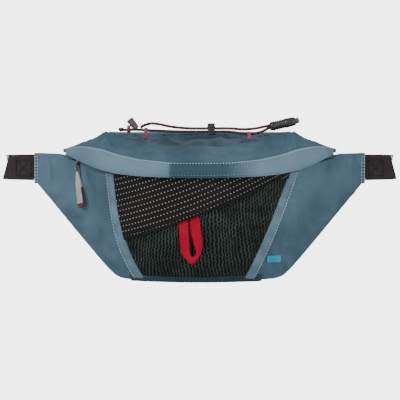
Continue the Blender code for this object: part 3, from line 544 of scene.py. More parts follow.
def dotted_material():
    """Black cloth with rows of small reflective dots that follow the pocket's mouth."""
    dot_size = 0.00058
    graph = Graph("dotted_cloth", 0.80, specular=0.2)
    away = graph.dot_distance(0.0037, 0.0050, 0.37)
    mark = graph.maths("SUBTRACT", 1.0, graph.ramp(away, dot_size * 0.75, dot_size * 1.2))
    cloud = graph.ramp(graph.noise(graph.place, 40.0, 3.0), 0.3, 0.7)
    ground = graph.mix(cloud, srgb(10, 9, 11), srgb(21, 19, 21))
    stripes = graph.wave(graph.uv, "Y", 0.0010, 0.6)
    # Painted highlight: the raised threads of the stripes are painted lighter.
    threaded = graph.mix(graph.maths("MULTIPLY", stripes, 0.35), ground, srgb(36, 32, 34))
    graph.colour(graph.mix(mark, threaded, srgb(164, 157, 144)))
    graph.roughness(graph.maths("MULTIPLY_ADD", mark, -0.35, 0.72))
    graph.relief(graph.maths("ADD", stripes, graph.maths("MULTIPLY", mark, 2.0)), 0.00015)
    return graph.material


def knit_material():
    """Chunky black-green knit: its ridges catch the light, and its hollows and holes are painted black as shade."""
    graph = Graph("chunky_knit", 0.88, specular=0.2)
    ridge = graph.attribute("ridge")
    cloud = graph.ramp(graph.noise(graph.place, 45.0, 3.0), 0.35, 0.65)
    thread = graph.noise(graph.place, 1600.0, 1.0)
    tone = graph.mix(cloud, srgb(36, 45, 43), srgb(60, 70, 67))
    fuzzy = graph.mix(graph.maths("MULTIPLY", thread, 0.30), tone, srgb(84, 95, 90))
    # Painted shade: the low places of the knit's relief go black, and only its ridges keep the knit's tone.
    graph.colour(graph.mix(graph.ramp(ridge, 0.08, 0.58), srgb(5, 7, 7), fuzzy))
    graph.relief(thread, 0.0003)
    return graph.material


def webbing_material(name="webbing_weave", base=(50, 43, 46)):
    """Flat webbing: chevrons across it and a fine rib along it, with the raised threads painted lighter as a
    highlight.
    """
    graph = Graph(name, 0.78, specular=0.25)
    u, v, _ = graph.parts(graph.uv)
    chevron = graph.maths("PINGPONG", v, 0.0042)
    combine = graph.tree.nodes.new("ShaderNodeCombineXYZ")
    graph.set(combine.inputs[0], graph.maths("ADD", u, chevron))
    graph.set(combine.inputs[1], v)
    twill = graph.wave(combine.outputs[0], "X", 0.0013)
    rib = graph.wave(graph.uv, "Y", 0.0011)
    height = graph.maths("MULTIPLY", twill, graph.maths("MULTIPLY_ADD", rib, 0.6, 0.4))
    dark = srgb(*(c * 0.72 for c in base))
    light = srgb(*(min(255, c * 1.30) for c in base))
    cloud = graph.ramp(graph.noise(graph.place, 50.0, 3.0), 0.3, 0.7)
    # Painted highlight: the colour follows the weave's relief, lighter on the raised threads.
    graph.colour(graph.mix(graph.maths("MULTIPLY_ADD", cloud, 0.25, graph.maths("MULTIPLY", height, 0.6)),
                           dark, light))
    graph.relief(height, 0.0004)
    return graph.material


def striped_material():
    """Inner face of the webbing: grey-white and pink stripes along it."""
    graph = Graph("striped_webbing_face", 0.75, specular=0.3)
    stripe = graph.ramp(graph.wave(graph.uv, "Y", 0.0052), 0.35, 0.65)
    thread = graph.wave(graph.uv, "X", 0.0009)
    tone = graph.mix(stripe, srgb(178, 112, 126), srgb(196, 194, 194))
    graph.colour(graph.mix(graph.maths("MULTIPLY", thread, 0.25), tone, srgb(120, 100, 106)))
    graph.relief(thread, 0.0003)
    return graph.material


def cord_material():
    """Braided elastic: dark brown strands, with a pink fleck where two cross; the gaps between the strands are painted
    near-black as shade.
    """
    graph = Graph("braided_elastic", 0.68, specular=0.25)
    u, v, _ = graph.parts(graph.uv)
    turn = graph.maths("MULTIPLY", u, 6.0)
    run = graph.maths("DIVIDE", v, 0.0021)
    right = graph.maths("FRACT", graph.maths("ADD", turn, run))
    left = graph.maths("FRACT", graph.maths("SUBTRACT", turn, run))
    strand = graph.maths("MULTIPLY", graph.maths("PINGPONG", right, 0.5), graph.maths("PINGPONG", left, 0.5))
    height = graph.ramp(strand, 0.0, 0.16)
    fleck = graph.ramp(graph.noise(graph.uv, 420.0, 1.0), 0.56, 0.66)
    # Painted shade: the gaps between the strands are painted near-black.
    tone = graph.mix(height, srgb(24, 15, 18), srgb(62, 42, 46))
    graph.colour(graph.mix(graph.maths("MULTIPLY", fleck, 0.75), tone, srgb(196, 138, 140)))
    graph.relief(height, 0.0004)
    return graph.material


def spacer_material():
    """Spacer mesh: staggered round pores in dark knitted foam cover; the pores are painted near-black as shade."""
    pore = 0.0032
    graph = Graph("spacer_mesh", 0.88, sheen=0.25, specular=0.2)
    solid = graph.ramp(graph.dot_distance(pore, pore, 0.5), 0.22 * pore, 0.38 * pore)
    cloud = graph.ramp(graph.noise(graph.place, 30.0, 3.0), 0.3, 0.7)
    cover = graph.mix(cloud, srgb(52, 55, 58), srgb(74, 78, 81))
    # Painted shade: the pores are painted near-black.
    graph.colour(graph.mix(solid, srgb(17, 18, 19), cover))
    graph.relief(solid, 0.0007, 0.9)
    return graph.material


def moulded(name, base, roughness=0.45, metallic=0.0, grain=900.0, depth=0.00006):
    """Moulded plastic, rubber or cast metal: a fine grain, and handling marks in its gloss."""
    graph = Graph(name, roughness, metallic, specular=0.5)
    speck = graph.noise(graph.place, grain, 2.0)
    smear = graph.ramp(graph.noise(graph.place, 70.0, 4.0), 0.35, 0.7)
    dark = srgb(*(c * 0.86 for c in base))
    light = srgb(*(min(255, c * 1.12) for c in base))
    graph.colour(graph.mix(smear, dark, light))
    graph.roughness(graph.maths("MULTIPLY_ADD", smear, 0.14, roughness - 0.06))
    graph.relief(speck, depth, 0.5)
    return graph.material


BAND = band_material()
GROSGRAIN = grosgrain_material()
DOTTED = dotted_material()
KNIT = knit_material()
WEBBING_CLOTH = webbing_material()
STRIPED = striped_material()
CORD = cord_material()
SPACER = spacer_material()
METAL = moulded("cast_metal", (122, 122, 124), 0.34, 0.9, 1500.0)
COIL = moulded("coil_nylon", (52, 58, 63), 0.42)
RUBBER = moulded("grey_rubber", (176, 173, 173), 0.52, 0.0, 1100.0, 0.0001)
# Maroon rubber of the pull's tip, also painted on the pull's right side face as shade.
MAROON_AND_SHADE = moulded("maroon_rubber", (82, 26, 34), 0.5)
PLASTIC = moulded("dark_moulded_plastic", (50, 50, 52), 0.42)
TAG = moulded("grey_tag_plastic", (80, 77, 76), 0.50)
SPRING = moulded("spring_wire", (170, 170, 172), 0.28, 1.0)
THREAD = plain_weave("pale_thread", srgb(168, 188, 200), srgb(205, 220, 230), pitch=0.0004)
BLUE_THREAD = plain_weave("blue_thread", srgb(110, 135, 150), srgb(140, 164, 178), pitch=0.0004)
DARK_THREAD = plain_weave("dark_thread", srgb(28, 27, 29), srgb(44, 42, 45), pitch=0.0004)
GREY_THREAD = plain_weave("grey_thread", srgb(92, 96, 99), srgb(118, 122, 125), pitch=0.0004)


# ---------------------------------------------------------------- mesh helpers
COLLECTION = bpy.data.collections.new("looks")
bpy.context.scene.collection.children.link(COLLECTION)


def add_piece(mesh, *materials):
    """An object with its mesh's name, in these materials."""
    for material in materials:
        mesh.materials.append(material)
    mesh.shade_smooth()
    piece = bpy.data.objects.new(mesh.name.split(".")[0], mesh)
    COLLECTION.objects.link(piece)
    return piece


def attach(piece, body, slot_name, *nodes):
    """Put a finished piece on its CAD body, in place of the nodes it stands for."""
    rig.slot(piece, slot_name)
    if nodes:
        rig.replaces(piece, *nodes)
    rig.ride(piece, body)


def arc_lengths(grid):
    """(along the row, along the column) of each grid point, in metres, from the middle column."""
    rows, columns = len(grid), len(grid[0])
    middle = columns // 2
    lengths = [[[0.0, 0.0] for _ in range(columns)] for _ in range(rows)]
    for r in range(rows):
        for c in range(middle + 1, columns):
            lengths[r][c][0] = lengths[r][c - 1][0] + (grid[r][c] - grid[r][c - 1]).length
        for c in range(middle - 1, -1, -1):
            lengths[r][c][0] = lengths[r][c + 1][0] - (grid[r][c] - grid[r][c + 1]).length
    for c in range(columns):
        for r in range(1, rows):
            lengths[r][c][1] = lengths[r - 1][c][1] + (grid[r][c] - grid[r - 1][c]).length
    return lengths


def plain_mesh(name, corners, faces):
    mesh = bpy.data.meshes.new(name)
    mesh.from_pydata(corners, [], faces)
    mesh.update()
    return mesh


def grid_mesh(name, grid, uv=None, wrap=None):
    """A mesh of quads over rows of points; wrap(column) joins the last row to the first."""
    rows, columns = len(grid), len(grid[0])
    uv = uv or arc_lengths(grid)
    faces = []
    for r in range(rows if wrap else rows - 1):
        above = (r + 1) % rows
        for c in range(columns - 1):
            if r < rows - 1 or wrap(c):
                faces.append((r * columns + c, r * columns + c + 1,
                              above * columns + c + 1, above * columns + c))
    mesh = plain_mesh(name, [p for row in grid for p in row], faces)
    layer = mesh.uv_layers.new(name="cloth")
    flat = [value for row in uv for value in row]
    for loop in mesh.loops:
        layer.data[loop.index].uv = flat[loop.vertex_index]
    return mesh


def thicken(piece, thickness, offset=-1.0, inner=0, edge=0):
    solid = piece.modifiers.new("thickness", "SOLIDIFY")
    solid.thickness = thickness
    solid.offset = offset
    solid.material_offset = inner
    solid.material_offset_rim = edge
    return piece


def refine(piece, levels=1):
    smooth = piece.modifiers.new("refine", "SUBSURF")
    smooth.levels = smooth.render_levels = levels
    return piece


def apply_modifiers(piece):
    """Make the evaluated shape the piece's own mesh."""
    graph = bpy.context.evaluated_depsgraph_get()
    mesh = bpy.data.meshes.new_from_object(piece.evaluated_get(graph))
    piece.modifiers.clear()
    piece.data = mesh
    return piece


def circle(middle, side, other, radius, count):
    """This many points round a circle, in the plane of two unit vectors."""
    turns = [2 * math.pi * step / count for step in range(count)]
    return [middle + (side * math.cos(turn) + other * math.sin(turn)) * radius for turn in turns]


def ring_faces(first, rings, sides, closed=False):
    """Quads between rings of corners; an open row of rings gets a cap at each end."""
    faces = []
    for ring in range(rings if closed else rings - 1):
        near, far = first + ring * sides, first + (ring + 1) % rings * sides
        for step in range(sides):
            ahead = (step + 1) % sides
            faces.append((near + step, near + ahead, far + ahead, far + step))
    if not closed:
        last = first + (rings - 1) * sides
        faces.append(tuple(range(first + sides - 1, first - 1, -1)))
        faces.append(tuple(range(last, last + sides)))
    return faces


def close_ends(mesh):
    """Join the seam of a rolled-up grid and fill the holes at its two ends."""
    form = bmesh.new()
    form.from_mesh(mesh)
    bmesh.ops.remove_doubles(form, verts=form.verts, dist=0.00002)
    bmesh.ops.holes_fill(form, edges=[e for e in form.edges if e.is_boundary], sides=0)
    bmesh.ops.recalc_face_normals(form, faces=form.faces)
    form.to_mesh(mesh)
    form.free()


def tube_mesh(name, points, radius, sides=10, closed=False):
    """A round tube of this radius along points."""
    points = [Vector(p) for p in points]
    count = len(points)
    side = None
    run = 0.0
    corners, marks = [], []
    for index, point in enumerate(points):
        ahead = points[(index + 1) % count] if closed or index < count - 1 else point
        behind = points[index - 1] if closed or index else point
        along = (ahead - behind).normalized()
        if side is None:
            side = along.orthogonal().normalized()
        side = (side - along * side.dot(along)).normalized()
        if index:
            run += (point - points[index - 1]).length
        corners += circle(point, side, along.cross(side), radius, sides)
        marks += [(step / sides, run) for step in range(sides)]
    mesh = plain_mesh(name, corners, ring_faces(0, count, sides, closed))
    layer = mesh.uv_layers.new(name="cloth")
    for face in mesh.polygons:
        seam = len(face.vertices) == 4 and any(i % sides == sides - 1 for i in face.vertices)
        for loop_index in face.loop_indices:
            vertex = mesh.loops[loop_index].vertex_index
            u, v = marks[vertex]
            layer.data[loop_index].uv = (u + 1.0 if seam and vertex % sides == 0 else u, v)
    return mesh


# One stitch, from its start to its end: share along it, size and how far it stands out
STITCH_FORM = ((0.0, 0.35, -0.3), (0.2, 0.9, 0.25), (0.5, 1.0, 0.5), (0.8, 0.9, 0.25), (1.0, 0.35, -0.3))


def sew(name, points, outward, material, body="pack", length=0.0021, gap=0.0011, width=0.00034):
    """A row of stitches on a body, along points; outward(point) is the side that they stand out on."""
    sides = 6
    route = [Vector(p) for p in points]
    runs = [0.0]
    for a, b in zip(route, route[1:]):
        runs.append(runs[-1] + (b - a).length)

    def at(distance):
        for index in range(len(route) - 1):
            if distance <= runs[index + 1]:
                share = (distance - runs[index]) / max(1e-9, runs[index + 1] - runs[index])
                return route[index].lerp(route[index + 1], share)
        return route[-1]

    corners, faces = [], []
    start = gap / 2
    while start + length < runs[-1]:
        near, far = at(start), at(start + length)
        along = (far - near).normalized()
        out = outward(near.lerp(far, 0.5)).normalized()
        across = along.cross(out).normalized()
        first = len(corners)
        for share, size, lift in STITCH_FORM:
            corners += circle(near.lerp(far, share) + out * width * lift, across, out, width * size, sides)
        faces += ring_faces(first, len(STITCH_FORM), sides)
        start += length + gap
    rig.ride(add_piece(plain_mesh(name, corners, faces), material), body)


def to_front(_point):
    return Vector((0, -1, 0))


def to_back(_point):
    return Vector((0, 1, 0))


def turned_mesh(name, start, end, profile, sides=28):
    """A turned form between two points; the profile is (share along, radius) pairs."""
    along = (end - start).normalized()
    side = along.orthogonal().normalized()
    corners = []
    for share, radius in profile:
        corners += circle(start.lerp(end, share), side, along.cross(side), radius, sides)
    return plain_mesh(name, corners, ring_faces(0, len(profile), sides))


def drape(piece, pins, slack, frames, cap, pull=(0, 0, 0), bending=0.06, seed=0):
    """Let cloth that is cut a little too large settle between its pinned points."""
    for vertex in piece.data.vertices:
        free = 1.0 - pins[vertex.index]
        vertex.co += vertex.normal * 0.0004 * free * noise.noise(vertex.co * 90 + Vector((seed, 0, 0)))
    start = [vertex.co.copy() for vertex in piece.data.vertices]
    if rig.quick():
        return piece
    scene = bpy.context.scene
    group = piece.vertex_groups.new(name="pins")
    for index, weight in enumerate(pins):
        group.add([index], weight, "REPLACE")
    cloth = piece.modifiers.new("drape", "CLOTH")
    settings = cloth.settings
    settings.quality = 7
    settings.mass = 0.2
    settings.tension_stiffness = settings.compression_stiffness = 20
    settings.shear_stiffness = 6
    settings.bending_stiffness = bending
    settings.air_damping = 2
    settings.vertex_group_mass = group.name
    settings.shrink_min = -slack
    cloth.collision_settings.use_collision = False
    cloth.point_cache.frame_start = 1
    cloth.point_cache.frame_end = frames
    scene.gravity = pull
    for step in range(1, frames + 1):
        scene.frame_set(step)
    settled = piece.evaluated_get(bpy.context.evaluated_depsgraph_get()).data
    moves = [after.co - before for after, before in zip(settled.vertices, start)]
    piece.modifiers.remove(cloth)
    piece.vertex_groups.clear()
    scene.gravity = (0, 0, -9.81)
    for vertex, before, move in zip(piece.data.vertices, start, moves):
        if move.length > cap:
            move = move.normalized() * cap
        vertex.co = before + move
    piece.data.update()
    scene.frame_set(1)
    return piece


# ---------------------------------------------------------------- camera, light and floor
def add_light(name, place, target, size, power):
    lamp = bpy.data.lights.new(name, "AREA")
    lamp.shape = "RECTANGLE"
    lamp.size, lamp.size_y = size
    lamp.energy = power
    light = bpy.data.objects.new(name, lamp)
    light.location = place
    light.rotation_euler = (Vector(target) - Vector(place)).to_track_quat("-Z", "Y").to_euler()
    COLLECTION.objects.link(light)


def backdrop(tree, output, shader):
    """White paper behind the object; the light it casts is softer than it looks."""
    seen, cast = 4.6, 0.56
    sight = tree.nodes.new("ShaderNodeLightPath")
    bright = tree.nodes.new("ShaderNodeEmission" if shader else "ShaderNodeBackground")
    bright.inputs["Strength"].default_value = seen
    if shader is None:
        shader = tree.nodes.new("ShaderNodeBackground")
        shader.inputs["Color"].default_value = (1, 1, 1, 1)
        shader.inputs["Strength"].default_value = cast
    bright.inputs["Color"].default_value = (1, 1, 1, 1)
    join = tree.nodes.new("ShaderNodeMixShader")
    tree.links.new(sight.outputs["Is Camera Ray"], join.inputs[0])
    tree.links.new(shader.outputs[0], join.inputs[1])
    tree.links.new(bright.outputs[0], join.inputs[2])
    tree.links.new(join.outputs[0], output.inputs["Surface"])


def build_studio():
    distance, elevation = 2.0, math.radians(6.0)
    target = Vector((0.0003, -0.040, 0.008))
    lens = bpy.data.cameras.new("camera")
    lens.lens, lens.sensor_width = 180.0, 36.0
    camera = bpy.data.objects.new("camera", lens)
    camera.location = target + Vector((0, -math.cos(elevation), math.sin(elevation))) * distance
    camera.rotation_euler = (target - camera.location).to_track_quat("-Z", "Y").to_euler()
    COLLECTION.objects.link(camera)
    bpy.context.scene.camera = camera

    world = bpy.data.worlds.new("studio")
    world.use_nodes = True
    bpy.context.scene.world = world
    backdrop(world.node_tree, world.node_tree.nodes["World Output"], None)
    add_light("key", (-1.3, -1.4, 1.15), (0, -0.03, 0), (0.8, 0.7), 26)
    add_light("fill", (1.5, -1.4, 0.5), (0, -0.03, 0), (0.9, 0.9), 14)
    add_light("back", (0.3, 1.6, 0.9), (0, 0, 0), (1.2, 0.8), 8)

    size, below = 6.0, 0.012
    form = bmesh.new()
    bmesh.ops.create_grid(form, x_segments=2, y_segments=2, size=size)
    mesh = bpy.data.meshes.new("floor")
    form.to_mesh(mesh)
    form.free()
    paper = Graph("floor_paper", 0.9)
    paper.colour((0.8, 0.8, 0.8, 1.0))
    backdrop(paper.tree, paper.tree.nodes["Material Output"], paper.shader)
    floor = add_piece(mesh, paper.material)
    floor.location.z = CAD_BOX[0][2] - below
    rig.stage(floor)


# ---------------------------------------------------------------- bungee cords on the lid
STRAND_Y = -0.0300
UPPER_Z = 0.0790
LOWER_Z = 0.0758
UPPER_ROUTE = ((-0.0588, -0.0452, 0.0808), (-0.0550, -0.0455, 0.0832), (-0.0480, -0.0450, 0.0850),
               (-0.0390, -0.0425, 0.0838), (-0.0290, -0.0380, 0.0814), (-0.0180, -0.0325, 0.0797),
               (-0.0070, STRAND_Y, UPPER_Z), (0.0120, STRAND_Y, UPPER_Z),
               (0.0300, STRAND_Y, UPPER_Z), (0.0420, -0.0315, 0.0782), (0.0540, -0.0335, 0.0790),
               (0.0620, -0.0352, 0.0806), (0.0685, -0.0364, 0.0822), (0.0735, -0.0366, 0.0829))
LOWER_ROUTE = ((-0.0760, -0.0215, 0.0770), (-0.0720, -0.0240, 0.0771), (-0.0680, -0.0280, 0.0776),
               (-0.0620, -0.0330, 0.0779), (-0.0535, -0.0380, 0.0778), (-0.0430, -0.0375, 0.0773),
               (-0.0310, -0.0348, 0.0766), (-0.0180, -0.0315, 0.0760), (-0.0070, STRAND_Y, LOWER_Z),
               (0.0120, STRAND_Y, LOWER_Z), (0.0280, STRAND_Y, LOWER_Z), (0.0360, -0.0330, 0.0752),
               (0.0430, -0.0380, 0.0744), (0.0490, -0.0410, 0.0742), (0.0550, -0.0403, 0.0748),
               (0.0610, -0.0385, 0.0762), (0.0655, -0.0372, 0.0780), (0.0690, -0.0368, 0.0798),
               (0.0735, -0.0366, 0.0808))
TAG_START = Vector((-0.0625, -0.0448, 0.0797))
TAG_END = Vector((-0.0700, -0.0440, 0.0893))
LOCK_START = Vector((0.0698, -0.0368, 0.0810))
LOCK_END = Vector((0.0955, -0.0345, 0.0868))
KNOT = Vector((-0.0790, -0.0198, 0.0772))


def route_length(points):
    return sum((b - a).length for a, b in zip(points, points[1:]))


def build_cords():
    knot_size, knot_steps = 0.0011, 48
    turns = [2 * math.pi * step / knot_steps for step in range(knot_steps)]
    trefoil = [KNOT + Vector((math.sin(t) + 2 * math.sin(2 * t), math.cos(t) - 2 * math.cos(2 * t),
                              -1.3 * math.sin(3 * t))) * knot_size * 0.62 for t in turns]
    knot = add_piece(tube_mesh("bungee_end_knot", trefoil, CORD_R * 0.8, 8, True), CORD)
    attach(knot, "lid", "bungee_cord", "bungee_knot")
    for name, route, node, extra in (("bungee_top_strand", UPPER_ROUTE, "bungee_upper", []),
                                     ("bungee_low_strand", LOWER_ROUTE, "bungee_lower", [knot])):
        points = smooth_route(route, 6)
        cord = add_piece(tube_mesh(name, points, CORD_R, 12), CORD)
        attach(cord, "lid", "bungee_cord", node)
        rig.cord(cord, exit=points[0], length=round(route_length(points), 4), diameter=2 * CORD_R,
                far_end="object", stiffness="medium", lay="taut", path=points, with_pieces=extra)


def ribbon_loop(name, x, foot, head, node, half=0.0022, width=0.0034):
    """A flat ribbon round the cord, sewn to the lid's seam at its foot."""
    foot, head = Vector((x, *foot)), Vector((x, *head))
    rise = (head - foot).normalized()
    out = Vector((1, 0, 0)).cross(rise)
    arcs = []
    for centre, start in ((head, 0.0), (foot, math.pi)):
        for step in range(9):
            angle = start + math.pi * step / 8
            arcs.append(centre + (out * math.cos(angle) + rise * math.sin(angle)) * half)
    arcs.append(arcs[0])
    grid = [[point + Vector((side * width / 2, 0, 0)) for side in (-1, -0.4, 0.4, 1)] for point in arcs]
    loop = thicken(add_piece(grid_mesh(name, grid), PINK), 0.0005, 0.0)
    attach(loop, "lid", "cord_loops", node)


def build_cord_hardware():
    ribbon_loop("front_left_cord_ribbon", -0.0535, (-0.0570, 0.0722), (-0.0380, 0.0779),
                "cord_loop_front_left")
    ribbon_loop("front_right_cord_ribbon", 0.0490, (-0.0580, 0.0718), (-0.0410, 0.0744),
                "cord_loop_front_right")
    ribbon_loop("rear_left_cord_ribbon", -0.0712, (-0.0247, 0.0780), (-0.0247, 0.0782),
                "cord_loop_rear_left", half=0.0034)

    tag = [(0.0, 0.0020), (0.04, 0.0027), (0.10, 0.0031), (0.30, 0.0034), (0.33, 0.0030), (0.37, 0.0030),
           (0.40, 0.0035), (0.62, 0.0035), (0.65, 0.0031), (0.69, 0.0031), (0.72, 0.0036), (0.93, 0.0036),
           (0.98, 0.0031), (1.0, 0.0024)]
    piece = add_piece(turned_mesh("cord_end_grip", TAG_START, TAG_END, tag), TAG)
    attach(piece, "lid", "dark_plastic", "cord_end_tag")

    slider_x, half_x = 0.0115, 0.0040
    low, high = Vector((slider_x - half_x, -0.0332, 0.0729)), Vector((slider_x + half_x, -0.0268, 0.0842))
    rings, count, ribs = [], 28, 5
    for layer in range(ribs * 4 + 1):
        z = low.z + (high.z - low.z) * layer / (ribs * 4)
        deep = 0.86 if layer % 4 == 0 else (0.97 if layer % 4 in (1, 3) else 1.03)
        end = 0.80 if layer in (0, ribs * 4) else 1.0
        ring = []
        for step in range(count):
            angle = 2 * math.pi * step / count
            c, s = math.cos(angle), math.sin(angle)
            square = 1.0 / (abs(c) ** 4 + abs(s) ** 4) ** 0.25
            ring.append(Vector((slider_x + half_x * square * c * deep * end,
                                STRAND_Y + 0.0032 * square * s * deep * end, z)))
        rings.append(ring + [ring[0]])
    mesh = grid_mesh("ribbed_cord_slider", rings)
    close_ends(mesh)
    slider = add_piece(mesh, PLASTIC)
    attach(slider, "cord_slider_body", "dark_plastic", "cord_slider")

    barrel = [(0.0, 0.0026), (0.02, 0.0036), (0.06, 0.0043), (0.12, 0.0047)]
    for groove in range(5):
        start = 0.20 + groove * 0.085
        barrel += [(start, 0.0047), (start + 0.012, 0.0042), (start + 0.040, 0.0042), (start + 0.052, 0.0047)]
    barrel += [(0.72, 0.0047), (0.86, 0.0046), (0.95, 0.0043), (0.99, 0.0038), (1.0, 0.0034)]
    piece = add_piece(turned_mesh("cord_lock_grip", LOCK_START, LOCK_END, barrel), PLASTIC)
    attach(piece, "lid", "dark_plastic", "cord_lock_barrel")
    axis = (LOCK_END - LOCK_START).normalized()
    button = [(0.0, 0.0028), (0.55, 0.0029), (0.80, 0.0029), (0.92, 0.0026), (1.0, 0.0018)]
    mesh = turned_mesh("cord_lock_button", LOCK_END - axis * 0.0014, LOCK_END + axis * 0.0038, button)
    piece = add_piece(mesh, TAG)
    attach(piece, "cord_plunger_body", "dark_plastic", "cord_lock_plunger")


# ---------------------------------------------------------------- body, wings and their lining
def fold_height(place, folds):
    """Height of soft folds at a flat place: each fold is (start, end, height, half width)."""
    total = 0.0
    for start, end, height, width in folds:
        start, end = Vector(start), Vector(end)
        run = end - start
        along = min(1.0, max(0.0, (place - start).dot(run) / run.length_squared))
        away = (place - start - run * along).length / (width * (0.7 + 0.6 * along))
        total += height * math.exp(-away * away) * math.sin(math.pi * (0.12 + 0.76 * along))
    return total


# Folds in the body's front, as (x, z) from and to, height and half width
BODY_FOLDS = (
    ((-0.112, -0.012), (-0.090, -0.050), 0.0030, 0.0045),
    ((-0.100, -0.040), (-0.080, -0.062), 0.0032, 0.0038),
    ((-0.092, -0.052), (-0.076, -0.070), -0.0024, 0.0032),
    ((-0.135, 0.020), (-0.118, -0.010), 0.0024, 0.0060),
    ((0.094, -0.030), (0.101, -0.050), 0.0030, 0.0040),
    ((0.083, -0.046), (0.092, -0.064), 0.0032, 0.0036),
    ((0.088, -0.040), (0.096, -0.060), -0.0022, 0.0030),
    ((0.128, 0.022), (0.114, -0.018), -0.0016, 0.0060),
    ((0.1545, 0.050), (0.1510, 0.014), 0.0028, 0.0030),
    ((0.1600, 0.048), (0.1585, 0.022), -0.0018, 0.0024),
    ((-0.1550, 0.050), (-0.1520, 0.016), 0.0024, 0.0030),
    ((-0.1605, 0.048), (-0.159, 0.022), -0.0016, 0.0024),
    ((-0.120, 0.048), (-0.112, 0.020), 0.0020, 0.0038),
    ((0.102, 0.026), (0.098, 0.000), -0.0014, 0.0040),
    ((-0.110, 0.040), (-0.104, 0.010), -0.0018, 0.0034),
    ((-0.096, -0.020), (-0.100, -0.046), -0.0018, 0.0034),
)
# Folds in the lid's top, as (x, distance behind the ridge) from and to, height and half width
TOP_FOLDS = (
    ((-0.066, 0.004), (-0.052, 0.040), 0.0030, 0.0034),
    ((-0.046, -0.002), (-0.030, 0.036), 0.0042, 0.0034),
    ((-0.030, 0.000), (-0.012, 0.044), -0.0030, 0.0044),
    ((-0.014, -0.002), (0.002, 0.030), 0.0044, 0.0034),
    ((0.004, 0.000), (0.022, 0.046), 0.0036, 0.0036),
    ((0.020, -0.002), (0.014, 0.030), -0.0028, 0.0032),
    ((0.032, 0.000), (0.052, 0.038), 0.0036, 0.0038),
    ((0.062, 0.004), (0.074, 0.040), 0.0028, 0.0038),
    ((-0.086, 0.010), (-0.078, 0.036), 0.0022, 0.0036),
    ((-0.044, 0.022), (-0.014, 0.030), 0.0026, 0.0032),
)
# Folds in the flap, as (x, share of its height) from and to; the share counts as 0.03 m
FLAP_FOLDS = (
    ((-0.0025, 0.012), (-0.0028, 0.031), -0.0026, 0.0019),
    ((0.0020, 0.012), (0.0016, 0.030), 0.0020, 0.0020),
    ((0.030, 0.018), (0.020, 0.031), 0.0024, 0.0028),
    ((-0.018, 0.014), (-0.052, 0.028), 0.0018, 0.0036),
    ((-0.030, 0.014), (-0.022, 0.030), 0.0018, 0.0028),
    ((-0.060, 0.016), (-0.072, 0.030), -0.0018, 0.0034),
    ((0.045, 0.014), (0.072, 0.027), 0.0020, 0.0038),
    ((0.080, 0.015), (0.088, 0.030), -0.0018, 0.0036),
    ((-0.082, 0.015), (-0.090, 0.030), -0.0016, 0.0036),
)


BODY_FOLD_SCALE = 1.5
RING_FRONT, RING_UNDER, RING_REAR = 30, 5, 9


def body_ring(x):
    """One section of the body: down the front, under the floor and up behind."""
    low, high = bottom_z(x), rim(x)[1]
    shares = [(1 - math.cos(math.pi * t)) / 2 * 0.35 + t * 0.65 for t in spread(0.0, 1.0, RING_FRONT)]
    ring = [Vector((x, skin(x, z), z)) for z in (high + (low - high) * s for s in shares)]
    behind = back_y(x) - (0.0012 if abs(x) < SHELL_HALF else 0.0)
    front = ring[-1].y
    ring += [Vector((x, front + (behind - front) * t, low)) for t in spread(0.0, 1.0, RING_UNDER)[1:]]
    wing = smoothstep(SHELL_HALF - 0.012, SHELL_HALF + 0.004, abs(x))
    top = min(high, lid_values_at(x)[0].z - 0.0045) * (1 - wing) + (high - 0.0004) * wing
    ring += [Vector((x, behind, low + (top - low) * t)) for t in spread(0.0, 1.0, RING_REAR)[1:]]
    return ring


def pocket_side_gap(x, z):
    """How far a point of the front is outside the pocket's trims, in metres."""
    share = min(1.1, max(0.0, depth_share(z)))
    return max(left_edge(share) - 0.010 - x, x - right_edge(share) - 0.010)


def build_body():
    stations = [WING_END * (1 - 2 * c / 130) for c in range(131)]
    rings = [body_ring(x) for x in stations]
    for x, ring in zip(stations, rings):
        for row in range(2, RING_FRONT - 2):
            z = ring[row].z
            bare = smoothstep(0.0, 0.008, pocket_side_gap(x, z)) * smoothstep(1.0, 4.0, row)
            ring[row].y -= fold_height(Vector((x, z)), BODY_FOLDS) * bare * BODY_FOLD_SCALE
    grid = [[ring[row] for ring in rings] for row in range(len(rings[0]))]

    def in_wing(c):
        """The wings are closed all round; the shell between them is open at its mouth."""
        return min(abs(stations[c]), abs(stations[c + 1])) > SHELL_HALF

    body = add_piece(grid_mesh("pack_body", grid, wrap=in_wing), BODY, LINING)
    pins = []
    for row, line in enumerate(grid):
        for x, point in zip(stations, line):
            loose = 1.0 if row < RING_FRONT else 0.0
            loose *= smoothstep(0.0, 3.5, row) * (1 - smoothstep(RING_FRONT - 4, RING_FRONT - 1, row))
            loose *= smoothstep(0.0, 0.010, pocket_side_gap(x, point.z))
            loose *= 1 - smoothstep(WING_END - 0.006, WING_END - 0.001, abs(x))
            loose *= 1 - 0.9 * smoothstep(0.034, 0.020, math.hypot(x - 0.118, point.z - 0.016))
            pins.append(1.0 - loose)
    drape(body, pins, 0.045, 26, 0.0042, pull=(0, 0, -1.5), bending=0.04, seed=3)
    refine(body)
    apply_modifiers(body)
    data = body.data
    tree = BVHTree.FromPolygons([v.co for v in data.vertices], [tuple(p.vertices) for p in data.polygons])
    thicken(body, SHELL_CLOTH, inner=1)
    attach(body, "pack", "body_fabric", "main_shell", "wing_left", "wing_right")
    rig.padded(body, fill=0.55)
    return tree


def surface_finder(tree):
    """A function that gives a point above the draped front at (x, z)."""
    def at(x, z, lift=0.0):
        found, normal, _, _ = tree.ray_cast(Vector((x, -0.3, z)), Vector((0, 1, 0)))
        if found is None:
            found, normal, _, _ = tree.find_nearest(Vector((x, skin(x, z), z)))
        if normal.y > 0:
            normal = -normal
        return found + normal * lift
    return at


